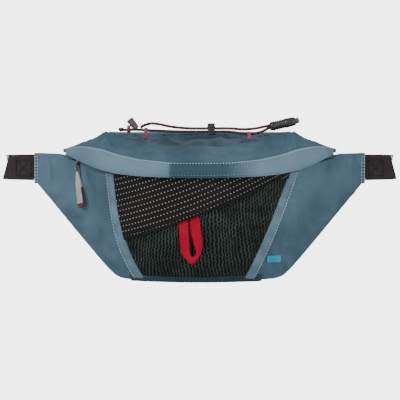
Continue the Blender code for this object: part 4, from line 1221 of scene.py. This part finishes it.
def build_wing_ends():
    for name, side in (("left", -1), ("right", 1)):
        middle = Vector((side * 0.1662, 0.0040, 0))
        rings = []
        for z in spread(bottom_z(WING_END) + 0.0002, WING_TOP - 0.0004, 17):
            ends = 0.75 + 0.25 * smoothstep(0.0, 0.002, min(z - bottom_z(WING_END), WING_TOP - z))
            ring = []
            for step in range(24):
                angle = 2 * math.pi * step / 24
                pucker = 1 + 0.035 * math.sin(z * 900 + math.sin(angle) * 2)
                ring.append(middle + Vector((0.0026 * blunt(math.cos(angle), 0.6),
                                             0.0066 * blunt(math.sin(angle), 0.8) * ends * pucker, z)))
            rings.append(ring + [ring[0]])
        piece = add_piece(grid_mesh(f"wing_end_tape_{name}", rings), BODY)
        refine(thicken(piece, 0.0006))
        attach(piece, "pack", "body_fabric", f"wing_binding_{name}")
        for row, x in (("outer", 0.1676), ("inner", 0.1648)):
            line = [Vector((side * x, -0.0026, z))
                    for z in spread(bottom_z(WING_END) + 0.001, WING_TOP - 0.001, 12)]
            sew(f"wing_end_stitch_{row}_{name}", line, to_front, THREAD)


# ---------------------------------------------------------------- back padding and inside pieces
def pad_outline(x):
    return bottom_z(x) + 0.001, lid_values_at(x)[0].z - 0.0032


def build_back():
    half, crown = SHELL_HALF - 0.0015, 0.0040
    channels = (-0.074, -0.024, 0.024, 0.074)
    stations = spread(-half, half, 87)
    shares = spread(0.0, 1.0, 45)
    grid, pins = [], []
    for share in shares:
        line = []
        for x in stations:
            low, high = pad_outline(x)
            z = low + (high - low) * share
            seam = min(abs(x - c) for c in channels)
            border = min(half - abs(x), (z - low) * 0.8, high - z)
            full = smoothstep(0.0, 0.011, seam) * smoothstep(0.0, 0.012, border)
            line.append(Vector((x, back_y(x) + crown * full - 0.0004, z)))
            pins.append(1.0 - smoothstep(0.001, 0.007, min(seam, border)))
        grid.append(line)
    grid = [list(reversed(line)) for line in grid]
    pins = [pins[row * len(stations) + column] for row in range(len(shares))
            for column in reversed(range(len(stations)))]
    pad = add_piece(grid_mesh("back_pad", grid), SPACER)
    drape(pad, pins, 0.020, 18, 0.0016, pull=(0, 2.0, -0.5), bending=0.15, seed=11)
    refine(thicken(pad, 0.0060))
    attach(pad, "pack", "back_padding", "back_pad_mesh", "back_foam")
    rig.padded(pad, fill=0.7)
    for index, x in enumerate(channels):
        low, high = pad_outline(x)
        line = [Vector((x, back_y(x) + 0.0001, z)) for z in spread(low + 0.006, high - 0.005, 20)]
        sew(f"pad_stitch_{index}", line, to_back, GREY_THREAD)
    edge = [Vector((x, back_y(x) + 0.0002, pad_outline(x)[0] + 0.0006)) for x in spread(-half, half, 60)]
    edge += [Vector((x, back_y(x) + 0.0002, pad_outline(x)[1] - 0.0006)) for x in spread(half, -half, 60)]
    rope = add_piece(tube_mesh("pad_edge_cord", edge, 0.0013, 10, True), PIPING)
    attach(rope, "pack", "back_padding")

    inner = []
    for share in spread(0.0, 1.0, 16):
        line = []
        for x in spread(-half, half, 60):
            low, high = pad_outline(x)
            z = low + (high - low) * share
            line.append(Vector((x, back_y(x) - 0.0083 + 0.0004 * noise.noise(Vector((x, 0, z)) * 70), z)))
        inner.append(line)
    lining = thicken(add_piece(grid_mesh("inner_back_lining", inner), LINING), 0.0010, 1.0)
    attach(refine(lining), "pack", "lining", "back_lining")

    low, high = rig.box("inner_pocket")
    slack = []
    for t in spread(0.0, 1.0, 12):
        line = []
        for x in spread(low.x, high.x, 24):
            sag = 0.0018 * math.sin(math.pi * min(1.0, (x - low.x) / (high.x - low.x)))
            line.append(Vector((x, low.y - 0.0006 - sag * t, low.z + (high.z - low.z) * t)))
        slack.append(line)
    pocket = refine(thicken(add_piece(grid_mesh("inner_slip_pocket", slack), LINING), 0.0008, 1.0))
    attach(pocket, "pack", "lining", "inner_pocket")
    hem = [line + Vector((0, -0.0012, -0.004)) for line in slack[-1]]
    sew("slip_pocket_stitch", hem, to_front, GREY_THREAD)
    piping = [Vector((x, -0.0035, lid_values_at(x)[0].z - 0.0006)) for x in spread(-0.092, 0.092, 40)]
    piece = add_piece(tube_mesh("top_seam_cord", piping, 0.0013, 10), PIPING)
    attach(piece, "pack", "grosgrain_trim", "top_piping")


def build_hinge_strip():
    """Cloth between the back's top seam and the lid, which folds as the lid opens."""
    half = LID_SECTIONS[4][0] + 0.004
    rows = []
    for share in spread(0.0, 1.0, 15):
        line = []
        for x in spread(-half, half, 80):
            rear = lid_values_at(x)[0]
            low = Vector((x, back_y(x) - 0.0046, rear.z - 0.0070))
            high = Vector((x, rear.y - 0.0070, rear.z - 0.0014))
            corner = Vector((x, back_y(x) - 0.0030, rear.z - 0.0010))
            line.append(low * (1 - share) ** 2 + corner * 2 * share * (1 - share) + high * share ** 2)
        rows.append(line)
    strip = thicken(add_piece(grid_mesh("lid_hinge_strip", rows), BODY), 0.0009, 0.0)
    apply_modifiers(strip)
    strip.data.shade_smooth()
    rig.slot(strip, "body_fabric")
    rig.blend(strip, "pack", "lid", (0, -0.0046, 0.0680), (0, -0.0120, 0.0722))


# ---------------------------------------------------------------- pocket, trims and small labels
def pocket_grid(at, low, high, columns, rows, lift):
    """Points between the pocket's edges and between two heights, lifted off the front."""
    grid = []
    for upward in spread(0.0, 1.0, rows):
        row = []
        for across in spread(0.0, 1.0, columns):
            x = left_edge(0.5) + (right_edge(0.5) - left_edge(0.5)) * across
            for _ in range(6):
                z = low(x) + (high(x) - low(x)) * upward
                share = depth_share(z)
                x = left_edge(share) + (right_edge(share) - left_edge(share)) * across
            row.append(at(x, z, lift(x, z, across, upward)))
        grid.append(row)
    return grid


def knit_height(u, v):
    """Relief of the knit: leaning columns of stitches with a hole between every two; the same heights set where the
    knit is painted black as shade.
    """
    column_gap, row_gap = 0.0034, 0.0042
    drift = 0.55 * noise.noise(Vector((u * 60, v * 60, 5.0)))
    phase = u / column_gap + 0.10 * math.sin(2 * math.pi * v / (2 * row_gap)) + v * 26 + drift
    column = 0.5 + 0.5 * math.cos(2 * math.pi * phase)
    row = v / row_gap + 0.5 * (math.floor(phase) % 2)
    loop = 0.5 + 0.5 * math.cos(2 * math.pi * row)
    # Patchy wear of the stitch heights; lower stitches are also painted darker as shade.
    wear_and_highlight = 0.80 + 0.45 * noise.noise(Vector((u * 210, v * 210, 8.0)))
    return min(1.0, column * (0.30 + 0.85 * loop) * wear_and_highlight)


def build_pocket(at):
    overlap, top = 0.006, POCKET_TOP + 0.0055

    def billow(x, z, across, upward):
        edge = min(1.0, 5 * across, 5 * (1 - across), 6 * upward + 0.2, 4 * (1 - upward) + 0.4)
        return 0.0011 + edge * (0.0013 + 0.0012 * noise.noise(Vector((x, z, 0.3)) * 45))

    grid = pocket_grid(at, lambda x: POCKET_BOTTOM, lambda x: min(top, diagonal_z(x) + overlap),
                       260, 116, billow)
    uv = arc_lengths(grid)
    heights = [[knit_height(u, v) for u, v in line] for line in uv]
    for line, raised in zip(grid, heights):
        for point, height in zip(line, raised):
            point.y -= 0.0009 * height
    mesh = grid_mesh("knit_pocket", grid, uv)
    # The heights go to the knit material, which paints the low places black as shade.
    ridge = mesh.attributes.new("ridge", "FLOAT", "POINT")
    ridge.data.foreach_set("value", [value for line in heights for value in line])
    knit = add_piece(mesh, KNIT)
    thicken(knit, 0.0005)
    attach(knit, "pack", "pocket_mesh", "mesh_pocket")
    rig.sheet(knit, flat=(0.172, 0.108), held="stretched", rests_on=["pack_body"], area=0.0112)

    def puff(x, z, across, upward):
        edge = min(1.0, 6 * across, 6 * (1 - across), 5 * (1 - upward) + 0.3)
        fold = noise.noise(Vector((x * 0.5, z, 0.9)) * 60)
        return 0.0034 + edge * (0.0007 + 0.0009 * fold)

    grid = pocket_grid(at, lambda x: min(POCKET_TOP - 0.0005, diagonal_z(x)), lambda x: top, 90, 34, puff)
    slope = 0.40
    uv = []
    for line in grid:
        runs, run = [], 0.0
        for index, point in enumerate(line):
            run += (point - line[index - 1]).xy.length if index else 0.0
            runs.append(((run - 0.08) * math.hypot(1, slope), (point.z - diagonal_z(point.x)) * 0.93))
        uv.append(runs)
    panel = add_piece(grid_mesh("dotted_front", grid, uv), DOTTED)
    refine(thicken(panel, 0.0008))
    attach(panel, "pack", "dotted_fabric", "dotted_panel")
    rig.sheet(panel, flat=(0.184, 0.075), held="stretched", rests_on=["knit_pocket"], area=0.0070)
    mouth = [p + Vector((0, -0.0004, 0.0004)) for p in grid[0] if p.z < POCKET_TOP - 0.002]
    fold = add_piece(tube_mesh("pocket_mouth_fold", mouth, 0.0009, 8), FOLD_CLOTH)
    attach(fold, "pack", "dotted_fabric")
    seam = [p + Vector((0, -0.0012, 0.0030)) for p in grid[0] if p.z < POCKET_TOP - 0.006]
    sew("pocket_mouth_stitch", seam, to_front, DARK_THREAD)


def build_trims(at):
    base = bottom_z(0) + 0.0060
    for name, edge, side in (("left", left_edge, -1), ("right", right_edge, 1)):
        grid, rows = [], {0.12: [], 0.88: []}
        for upward in spread(0.0, 1.0, 60):
            z = base + (POCKET_TOP + 0.0060 - base) * upward
            share = depth_share(z)
            width = 0.0085 + 0.0015 * share
            inner = edge(share) + side * -0.0006
            wave = 0.00025 * math.sin(z * 560) + 0.0002 * math.sin(z * 1310 + side)
            line = []
            for across in spread(0.0, 1.0, 9):
                x = inner + side * width * (across if side > 0 else 1 - across)
                crown = 0.0026 + 0.0006 * math.sin(math.pi * across)
                crown -= 0.0005 * (math.exp(-((across - 0.12) / 0.05) ** 2)
                                   + math.exp(-((across - 0.88) / 0.05) ** 2))
                line.append(at(x, z, crown + wave))
            grid.append(line)
            for across, points in rows.items():
                x = inner + side * width * across
                points.append(at(x, z, 0.0030 + wave))
        strip = add_piece(grid_mesh(f"pocket_trim_{name}", grid), GROSGRAIN)
        refine(thicken(strip, 0.0022))
        attach(strip, "pack", "grosgrain_trim", f"trim_{name}")
        for index, points in enumerate(rows.values()):
            sew(f"trim_stitch_{name}_{index}", points, lambda _point: Vector((side * 0.3, -1, 0)),
                THREAD if index else BLUE_THREAD)


def build_bottom_band(at):
    grid = []
    for upward in spread(0.0, 1.0, 9):
        line = []
        for x in spread(-0.069, 0.062, 80):
            low, high = bottom_z(x) + 0.0002, POCKET_BOTTOM + 0.0012
            z = low + (high - low) * upward
            line.append(at(x, z, 0.0016 + 0.0006 * math.sin(math.pi * upward)))
        grid.append(line)
    band = refine(thicken(add_piece(grid_mesh("bottom_panel_band", grid), DARK_CLOTH), SHELL_CLOTH))
    attach(band, "pack", "bottom_fabric", "bottom_band")
    sew("bottom_band_stitch", grid[6], to_front, DARK_THREAD)


def build_side_tab(at):
    low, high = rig.box("side_tab")
    grid = [[at(x, z, 0.0012) for x in spread(low.x, high.x, 14)] for z in spread(low.z, high.z, 8)]
    tab = refine(thicken(add_piece(grid_mesh("cyan_side_tab", grid), CYAN), 0.0009))
    attach(tab, "pack", "cyan_tab", "side_tab")
    for index, x in enumerate((low.x + 0.0012, high.x - 0.0012)):
        line = [at(x, z, 0.0013) for z in spread(low.z + 0.0006, high.z - 0.0006, 6)]
        sew(f"tab_stitch_{index}", line, to_front, THREAD, "pack", 0.0013, 0.0006, 0.00025)


def build_pull_ribbon(at):
    """Red loop: the ribbon comes down, turns at a rounded end and goes back up beside itself."""
    outer = ((-0.0213, -0.0030), (-0.0196, -0.0170), (-0.0187, -0.0308), (-0.0166, -0.0390),
             (-0.0119, -0.0446), (-0.0073, -0.0480), (-0.0018, -0.0430), (0.0021, -0.0342),
             (0.0024, -0.0239), (0.0009, -0.0124), (-0.0022, 0.0022))
    inner = ((-0.0118, -0.0005), (-0.0104, -0.0147), (-0.0095, -0.0285), (-0.0091, -0.0353),
             (-0.0085, -0.0392), (-0.0066, -0.0408), (-0.0044, -0.0394), (-0.0036, -0.0366),
             (-0.0054, -0.0300), (-0.0088, -0.0170), (-0.0100, -0.0005))
    rows = []
    count = len(outer) - 1
    for index, (far, near) in enumerate(zip(smooth_route([(x, 0, z) for x, z in outer], 5),
                                            smooth_route([(x, 0, z) for x, z in inner], 5))):
        share = index / (count * 5)
        emerge = smoothstep(0.06, 0.13, min(share, 1 - share))
        lift = 0.0026 + emerge * (0.0028 + 0.0020 * math.sin(math.pi * share))
        line = []
        for across in spread(0.0, 1.0, 7):
            point = far.lerp(near, across)
            turn = 0.0016 * (across - 0.5) * math.cos(math.pi * share) * emerge
            line.append(at(point.x, point.z, lift + turn + 0.0005 * math.sin(math.pi * across)))
        rows.append(line)
    ribbon = refine(thicken(add_piece(grid_mesh("red_zip_ribbon", rows), RED), 0.0006, 0.0))
    apply_modifiers(ribbon)
    ribbon.data.shade_smooth()
    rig.slot(ribbon, "red_ribbon")
    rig.replaces(ribbon, "red_pull_loop")
    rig.blend(ribbon, "pack", "pull_loop_body", (-0.0090, -0.0840, -0.0030), (-0.0090, -0.0840, -0.0150))


# ---------------------------------------------------------------- lid
FLAP_ROWS, TOP_ROWS, LID_COLUMNS = 19, 26, 149


def build_lid():
    stations = spread(-LID_HALF, LID_HALF, LID_COLUMNS)
    shares = spread(0.0, 1.0, FLAP_ROWS)
    grid = []
    for share in shares:
        grid.append([flap_point(x, share) - Vector((0, fold_height(Vector((x, share * 0.03)), FLAP_FOLDS), 0))
                     * smoothstep(0.3, 0.5, share) * (1 - smoothstep(0.93, 1.0, share)) for x in stations])
    for share in spread(0.0, 1.0, TOP_ROWS)[1:]:
        line = []
        for x in stations:
            point = lid_top_point(x, share)
            behind = (point - lid_top_point(x, 0.0)).length
            point.z += fold_height(Vector((x, behind)), TOP_FOLDS) * (1 - smoothstep(0.75, 1.0, share))
            line.append(point)
        grid.append(line)
    pins = []
    for row in range(len(grid)):
        for x in stations:
            if row < FLAP_ROWS:
                band = lid_values_at(x)[3]
                loose = smoothstep(band, band + 0.3, shares[row])
                loose *= 1 - 0.85 * smoothstep(0.88, 1.0, shares[row])
            else:
                top = (row - FLAP_ROWS + 1) / (TOP_ROWS - 1)
                loose = smoothstep(-0.12, 0.16, top) * (1 - smoothstep(0.86, 1.0, top))
            pins.append(1.0 - loose * (1 - smoothstep(LID_HALF - 0.030, LID_HALF - 0.006, abs(x))))
    lid = add_piece(grid_mesh("lid_cover", grid), FLAP, LINING)
    drape(lid, pins, 0.055, 28, 0.0040, pull=(0, 0, -2.5), bending=0.03, seed=7)
    columns = len(stations)
    final = [[lid.data.vertices[row * columns + column].co.copy() for column in range(columns)]
             for row in range(len(grid))]
    refine(thicken(lid, SHELL_CLOTH, inner=1))
    attach(lid, "lid", "body_fabric", "lid_shell")
    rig.padded(lid, fill=0.5)

    def on_flap(x, share, lift=0.0):
        """A point above the draped flap."""
        def raw(x_at, share_at):
            column = min(columns - 1.001, max(0.0, (x_at + LID_HALF) / (2 * LID_HALF) * (columns - 1)))
            row = min(FLAP_ROWS - 1.001, max(0.0, share_at * (FLAP_ROWS - 1)))
            c, r = int(column), int(row)
            low = final[r][c].lerp(final[r][c + 1], column - c)
            return low.lerp(final[r + 1][c].lerp(final[r + 1][c + 1], column - c), row - r)
        across = raw(x + 0.003, share) - raw(x - 0.003, share)
        up = raw(x, min(1.0, share + 0.05)) - raw(x, max(0.0, share - 0.05))
        return raw(x, share) + across.cross(up).normalized() * lift
    return on_flap


def off_hem(point):
    return Vector((point.x * 4, -1, 0.2))


def build_hem(on_flap):
    edge = LID_HALF - 0.0045
    grid, seam, low_seam, lip = [], [], [], []
    xs = spread(-edge, edge, 150)
    for share in spread(0.0, 1.0, 10):
        line = []
        for x in xs:
            height = share * lid_values_at(x)[3]
            uneven = 0.00025 * noise.noise(Vector((x * 70, share, 2)))
            roll = 0.0011 + 0.0007 * math.sin(math.pi * share) + uneven
            line.append(on_flap(x, height, roll))
        grid.append(line)
    band = refine(thicken(add_piece(grid_mesh("hem_binding", grid), BAND), 0.0012))
    attach(band, "lid", "hem_fabric", "lid_hem_band")
    for x in xs:
        top = lid_values_at(x)[3]
        seam.append(on_flap(x, top * 0.90, 0.0016))
        low_seam.append(on_flap(x, top * 0.10, 0.0015))
        lip.append(on_flap(x, 0.0, 0.0004) + Vector((0, 0.0004, -0.0003)))
    sew("hem_stitch", seam, off_hem, THREAD, "lid", 0.0016, 0.0014, 0.00042)
    sew("hem_low_stitch", low_seam, off_hem, BLUE_THREAD, "lid", 0.0019, 0.0013, 0.00026)
    roll = add_piece(tube_mesh("hem_lower_roll", lip, 0.0010, 8), BAND)
    attach(roll, "lid", "hem_fabric")


# ---------------------------------------------------------------- zip
def build_zip():
    """Coil and tape of each side; the lower side runs on past the stops, the upper one ends before."""
    pitch, radius, per_turn, past = 0.0014, 0.00085, 9, math.radians(2.4)
    for name, body, low, high, side in (("lower", "pack", ZIP_LEFT - past, ZIP_RIGHT + past, -1),
                                        ("upper", "lid", ZIP_LEFT + past, ZIP_RIGHT - past, 1)):
        turns = int((high - low) * ZIP_RADIUS / pitch)
        points = []
        for step in range(turns * per_turn + 1):
            angle = low + (high - low) * step / (turns * per_turn)
            spin = 2 * math.pi * step / per_turn
            points.append(zip_point(angle, radius * math.cos(spin), side * 0.0017 + radius * math.sin(spin)))
        coil = add_piece(tube_mesh(f"zip_teeth_{name}", points, 0.00030, 5), COIL)
        attach(coil, body, "zip_coil", f"zip_coil_{name}")
        low_up, high_up, flare = (-0.0120, -0.0030, 0.0) if side < 0 else (0.0033, 0.0090, -0.0046)
        grid = [[zip_point(angle, 0.0006 + flare * share, low_up + (high_up - low_up) * share)
                 for angle in spread(low, high, 90)] for share in spread(0.0, 1.0, 6)]
        tape = thicken(add_piece(grid_mesh(f"zip_cloth_{name}", grid), TAPE), 0.0008)
        attach(tape, body, "zip_tape", f"zip_tape_{name}")


# The zip pull's moulded grip, down from its eye: distance, half width, half thickness
PULL_FORM = ((0.0055, 0.0016, 0.0010), (0.0075, 0.0019, 0.0012), (0.0110, 0.0021, 0.0013),
             (0.0135, 0.0029, 0.0014), (0.0160, 0.0037, 0.0015), (0.0220, 0.0042, 0.0016),
             (0.0300, 0.0046, 0.0016), (0.0370, 0.0047, 0.0016), (0.0376, 0.0047, 0.0016),
             (0.0405, 0.0043, 0.0015), (0.0422, 0.0034, 0.0012), (0.0428, 0.0016, 0.0007))
PULL_EYE_OUT = 0.0070
PULL_EYE_DOWN = 0.0092
PULL_TIP = Vector((-0.1185, -0.0425, 0.0040))


def build_zip_pull():
    """Moulded pull: a narrow neck that widens to a flat grip with a dark tip; its right side face is painted maroon as
    shade.
    """
    eye = zip_point(ZIP_LEFT, PULL_EYE_OUT, -PULL_EYE_DOWN)
    hang = (PULL_TIP - eye).normalized()
    outwards = Vector((math.sin(ZIP_LEFT), 0, 0)) + ZIP_OUT * math.cos(ZIP_LEFT)
    pin_axis = (outwards.cross(ZIP_UP) * -1).normalized()
    across = (pin_axis - hang * pin_axis.dot(hang)).normalized()
    front = hang.cross(across).normalized()
    rings = []
    for down, wide, thick in PULL_FORM:
        ring = []
        for step in range(20):
            angle = 2 * math.pi * step / 20
            ring.append(eye + hang * down + across * wide * blunt(math.cos(angle), 0.45)
                        + front * thick * blunt(math.sin(angle), 0.45))
        rings.append(ring + [ring[0]])
    mesh = grid_mesh("zip_grip", rings)
    pull = add_piece(mesh, RUBBER, MAROON_AND_SHADE)
    for face in mesh.polygons:
        centre = sum((mesh.vertices[i].co for i in face.vertices), Vector()) / len(face.vertices)
        local = centre - eye
        # Painted shade: the right side face takes the tip's maroon; the tip itself is maroon rubber.
        shade_side_face = abs(local.dot(across)) > 0.0040 and local.dot(across) * across.x > 0
        face.material_index = 1 if local.dot(hang) > 0.0378 or shade_side_face else 0
    close_ends(mesh)
    refine(pull)
    attach(pull, "zip_pull_body", "pull_rubber", "zip_pull")
    bail = []
    for step in range(13):
        angle = math.pi * step / 12
        bail.append(eye + pin_axis * 0.0030 * math.cos(angle) + hang * (0.0062 * math.sin(angle)))
    wire = add_piece(tube_mesh("zip_grip_bail", bail + [bail[0]], 0.0007, 8), METAL)
    attach(wire, "zip_pull_body", "slider_metal")


# ---------------------------------------------------------------- belt
LEFT_BELT = ((-0.1692, 0.0055), (-0.1780, 0.0075), (-0.1880, 0.0110), (-0.1950, 0.0145),
             (-0.1985, 0.0185), (-0.1955, 0.0225), (-0.1880, 0.0238), (-0.1700, 0.0238),
             (-0.1300, 0.0228), (-0.0900, 0.0220), (-0.0600, 0.0217), (-0.0480, 0.0221),
             (-0.0410, 0.0234), (-0.0355, 0.0239), (-0.0318, 0.0231), (-0.0305, 0.0205),
             (-0.0318, 0.0179), (-0.0355, 0.0171), (-0.0410, 0.0176), (-0.0480, 0.0189),
             (-0.0620, 0.0193))
RIGHT_BELT = ((0.1692, 0.0055), (0.1780, 0.0075), (0.1880, 0.0110), (0.1950, 0.0145),
              (0.1985, 0.0185), (0.1955, 0.0220), (0.1880, 0.0230), (0.1700, 0.0226),
              (0.1300, 0.0212), (0.0900, 0.0207), (0.0550, 0.0203))
BELT_TAIL = ((0.0545, 0.0203), (0.0420, 0.0184), (0.0350, 0.0166), (0.0260, 0.0166),
             (0.0170, 0.0168), (0.0130, 0.0180), (0.0118, 0.0205), (0.0130, 0.0230),
             (0.0170, 0.0242), (0.0260, 0.0244), (0.0380, 0.0242), (0.0600, 0.0233),
             (0.0900, 0.0231), (0.1250, 0.0236))
WEB_THICK = 0.0016


def strap_grid(route, steps=6, columns=9):
    path = smooth_route([(x, y, 0.0) for x, y in route], steps)
    grid = []
    for share in spread(-1.0, 1.0, columns):
        line = []
        for point in path:
            fold = smoothstep(0.180, 0.195, abs(point.x)) * -math.copysign(0.0034, point.x) * share
            line.append(Vector((point.x + fold, point.y, BELT_Z + share * WEBBING / 2)))
        grid.append(line)
    return grid


def build_belt():
    for name, route, body, node in (("left_webbing", LEFT_BELT, "pack", "belt_left"),
                                    ("right_webbing", RIGHT_BELT, None, "belt_right"),
                                    ("tail_webbing", BELT_TAIL, "buckle_plug", "belt_tail")):
        piece = add_piece(grid_mesh(name, strap_grid(route)), WEBBING_CLOTH)
        thicken(piece, WEB_THICK, 0.0)
        bevel = piece.modifiers.new("soft edge", "BEVEL")
        bevel.width, bevel.segments, bevel.limit_method = 0.0005, 2, "ANGLE"
        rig.slot(piece, "webbing")
        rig.replaces(piece, node)
        if body:
            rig.ride(piece, body)
        else:
            apply_modifiers(piece)
            piece.data.shade_smooth()
            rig.blend(piece, "pack", "buckle_plug", (0.150, 0.0222, BELT_Z), (0.070, 0.0205, BELT_Z))
    half = 0.0080
    for name, side in (("left", -1), ("right", 1)):
        near_x, far_x = 0.1722, 0.1880
        corners = ((near_x, -half), (far_x, -half), (far_x, half), (near_x, half),
                   (near_x, -half), (far_x, half), (far_x, -half), (near_x, half))

        def on_belt(x, z):
            path = smooth_route([(a, b, 0.0) for a, b in (LEFT_BELT if side < 0 else RIGHT_BELT)[:5]], 8)
            near = min(path, key=lambda p: abs(abs(p.x) - x))
            return Vector((side * x, near.y - 0.0013, BELT_Z + z))
        line = []
        for (xa, za), (xb, zb) in zip(corners, corners[1:]):
            line += [on_belt(xa + (xb - xa) * t, za + (zb - za) * t) for t in spread(0.0, 1.0, 8)[:-1]]
        sew(f"belt_box_stitch_{name}", line, lambda _point: Vector((side * -0.3, -1, 0)), DARK_THREAD,
            "pack", 0.0017, 0.0008, 0.00032)
        rows = []
        for t in spread(0.0, 1.0, 8):
            z = BELT_Z + 0.0126 - 0.0190 * t
            inside, outside = 0.1870, 0.1992 - 0.0045 * t
            rows.append([Vector((side * (inside + (outside - inside) * s), 0.0172 + 0.0012 * s, z))
                         for s in spread(0.0, 1.0, 6)])
        face = thicken(add_piece(grid_mesh(f"belt_inner_face_{name}", rows), STRIPED), 0.0006, 0.0)
        attach(face, "pack", "webbing")

    low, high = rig.box("belt_keeper")
    middle, half = (low + high) / 2, (high - low - Vector((0.0012, 0.0012, 0.0012))) / 2
    loop = []
    for step in range(41):
        angle = 2 * math.pi * (step % 40) / 40
        loop.append((middle.y + half.y * blunt(math.cos(angle), 0.35),
                     middle.z + half.z * blunt(math.sin(angle), 0.35)))
    rows = [[Vector((x, y, z)) for x in spread(low.x, high.x, 7)] for y, z in loop]
    keeper = thicken(add_piece(grid_mesh("elastic_keeper", rows), WEBBING_CLOTH), 0.0011, 0.0)
    attach(keeper, "keeper_body", "webbing", "belt_keeper")


def finish_cad_nodes():
    """Materials for the CAD nodes whose own shape is shown."""
    for material, names in (
            (PLASTIC, ("buckle_female", "buckle_male", "buckle_prong_upper", "buckle_prong_lower")),
            (METAL, ("zip_slider", "zip_stop_left", "zip_stop_right")),
            (SPRING, ("cord_lock_spring",))):
        for name in names:
            node = frame["nodes"][name]
            node.data.materials.clear()
            node.data.materials.append(material)


# ---------------------------------------------------------------- the whole pack
build_studio()
build_cords()
build_cord_hardware()
front = surface_finder(build_body())
build_wing_ends()
build_back()
build_hinge_strip()
build_pocket(front)
build_trims(front)
build_bottom_band(front)
build_side_tab(front)
build_pull_ribbon(front)
build_hem(build_lid())
build_zip()
build_zip_pull()
build_belt()
finish_cad_nodes()

with open("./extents.json", "w") as out:
    json.dump({"cad": [list(corner) for corner in CAD_BOX],
               "visual": [list(corner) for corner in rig.bounds()]}, out)
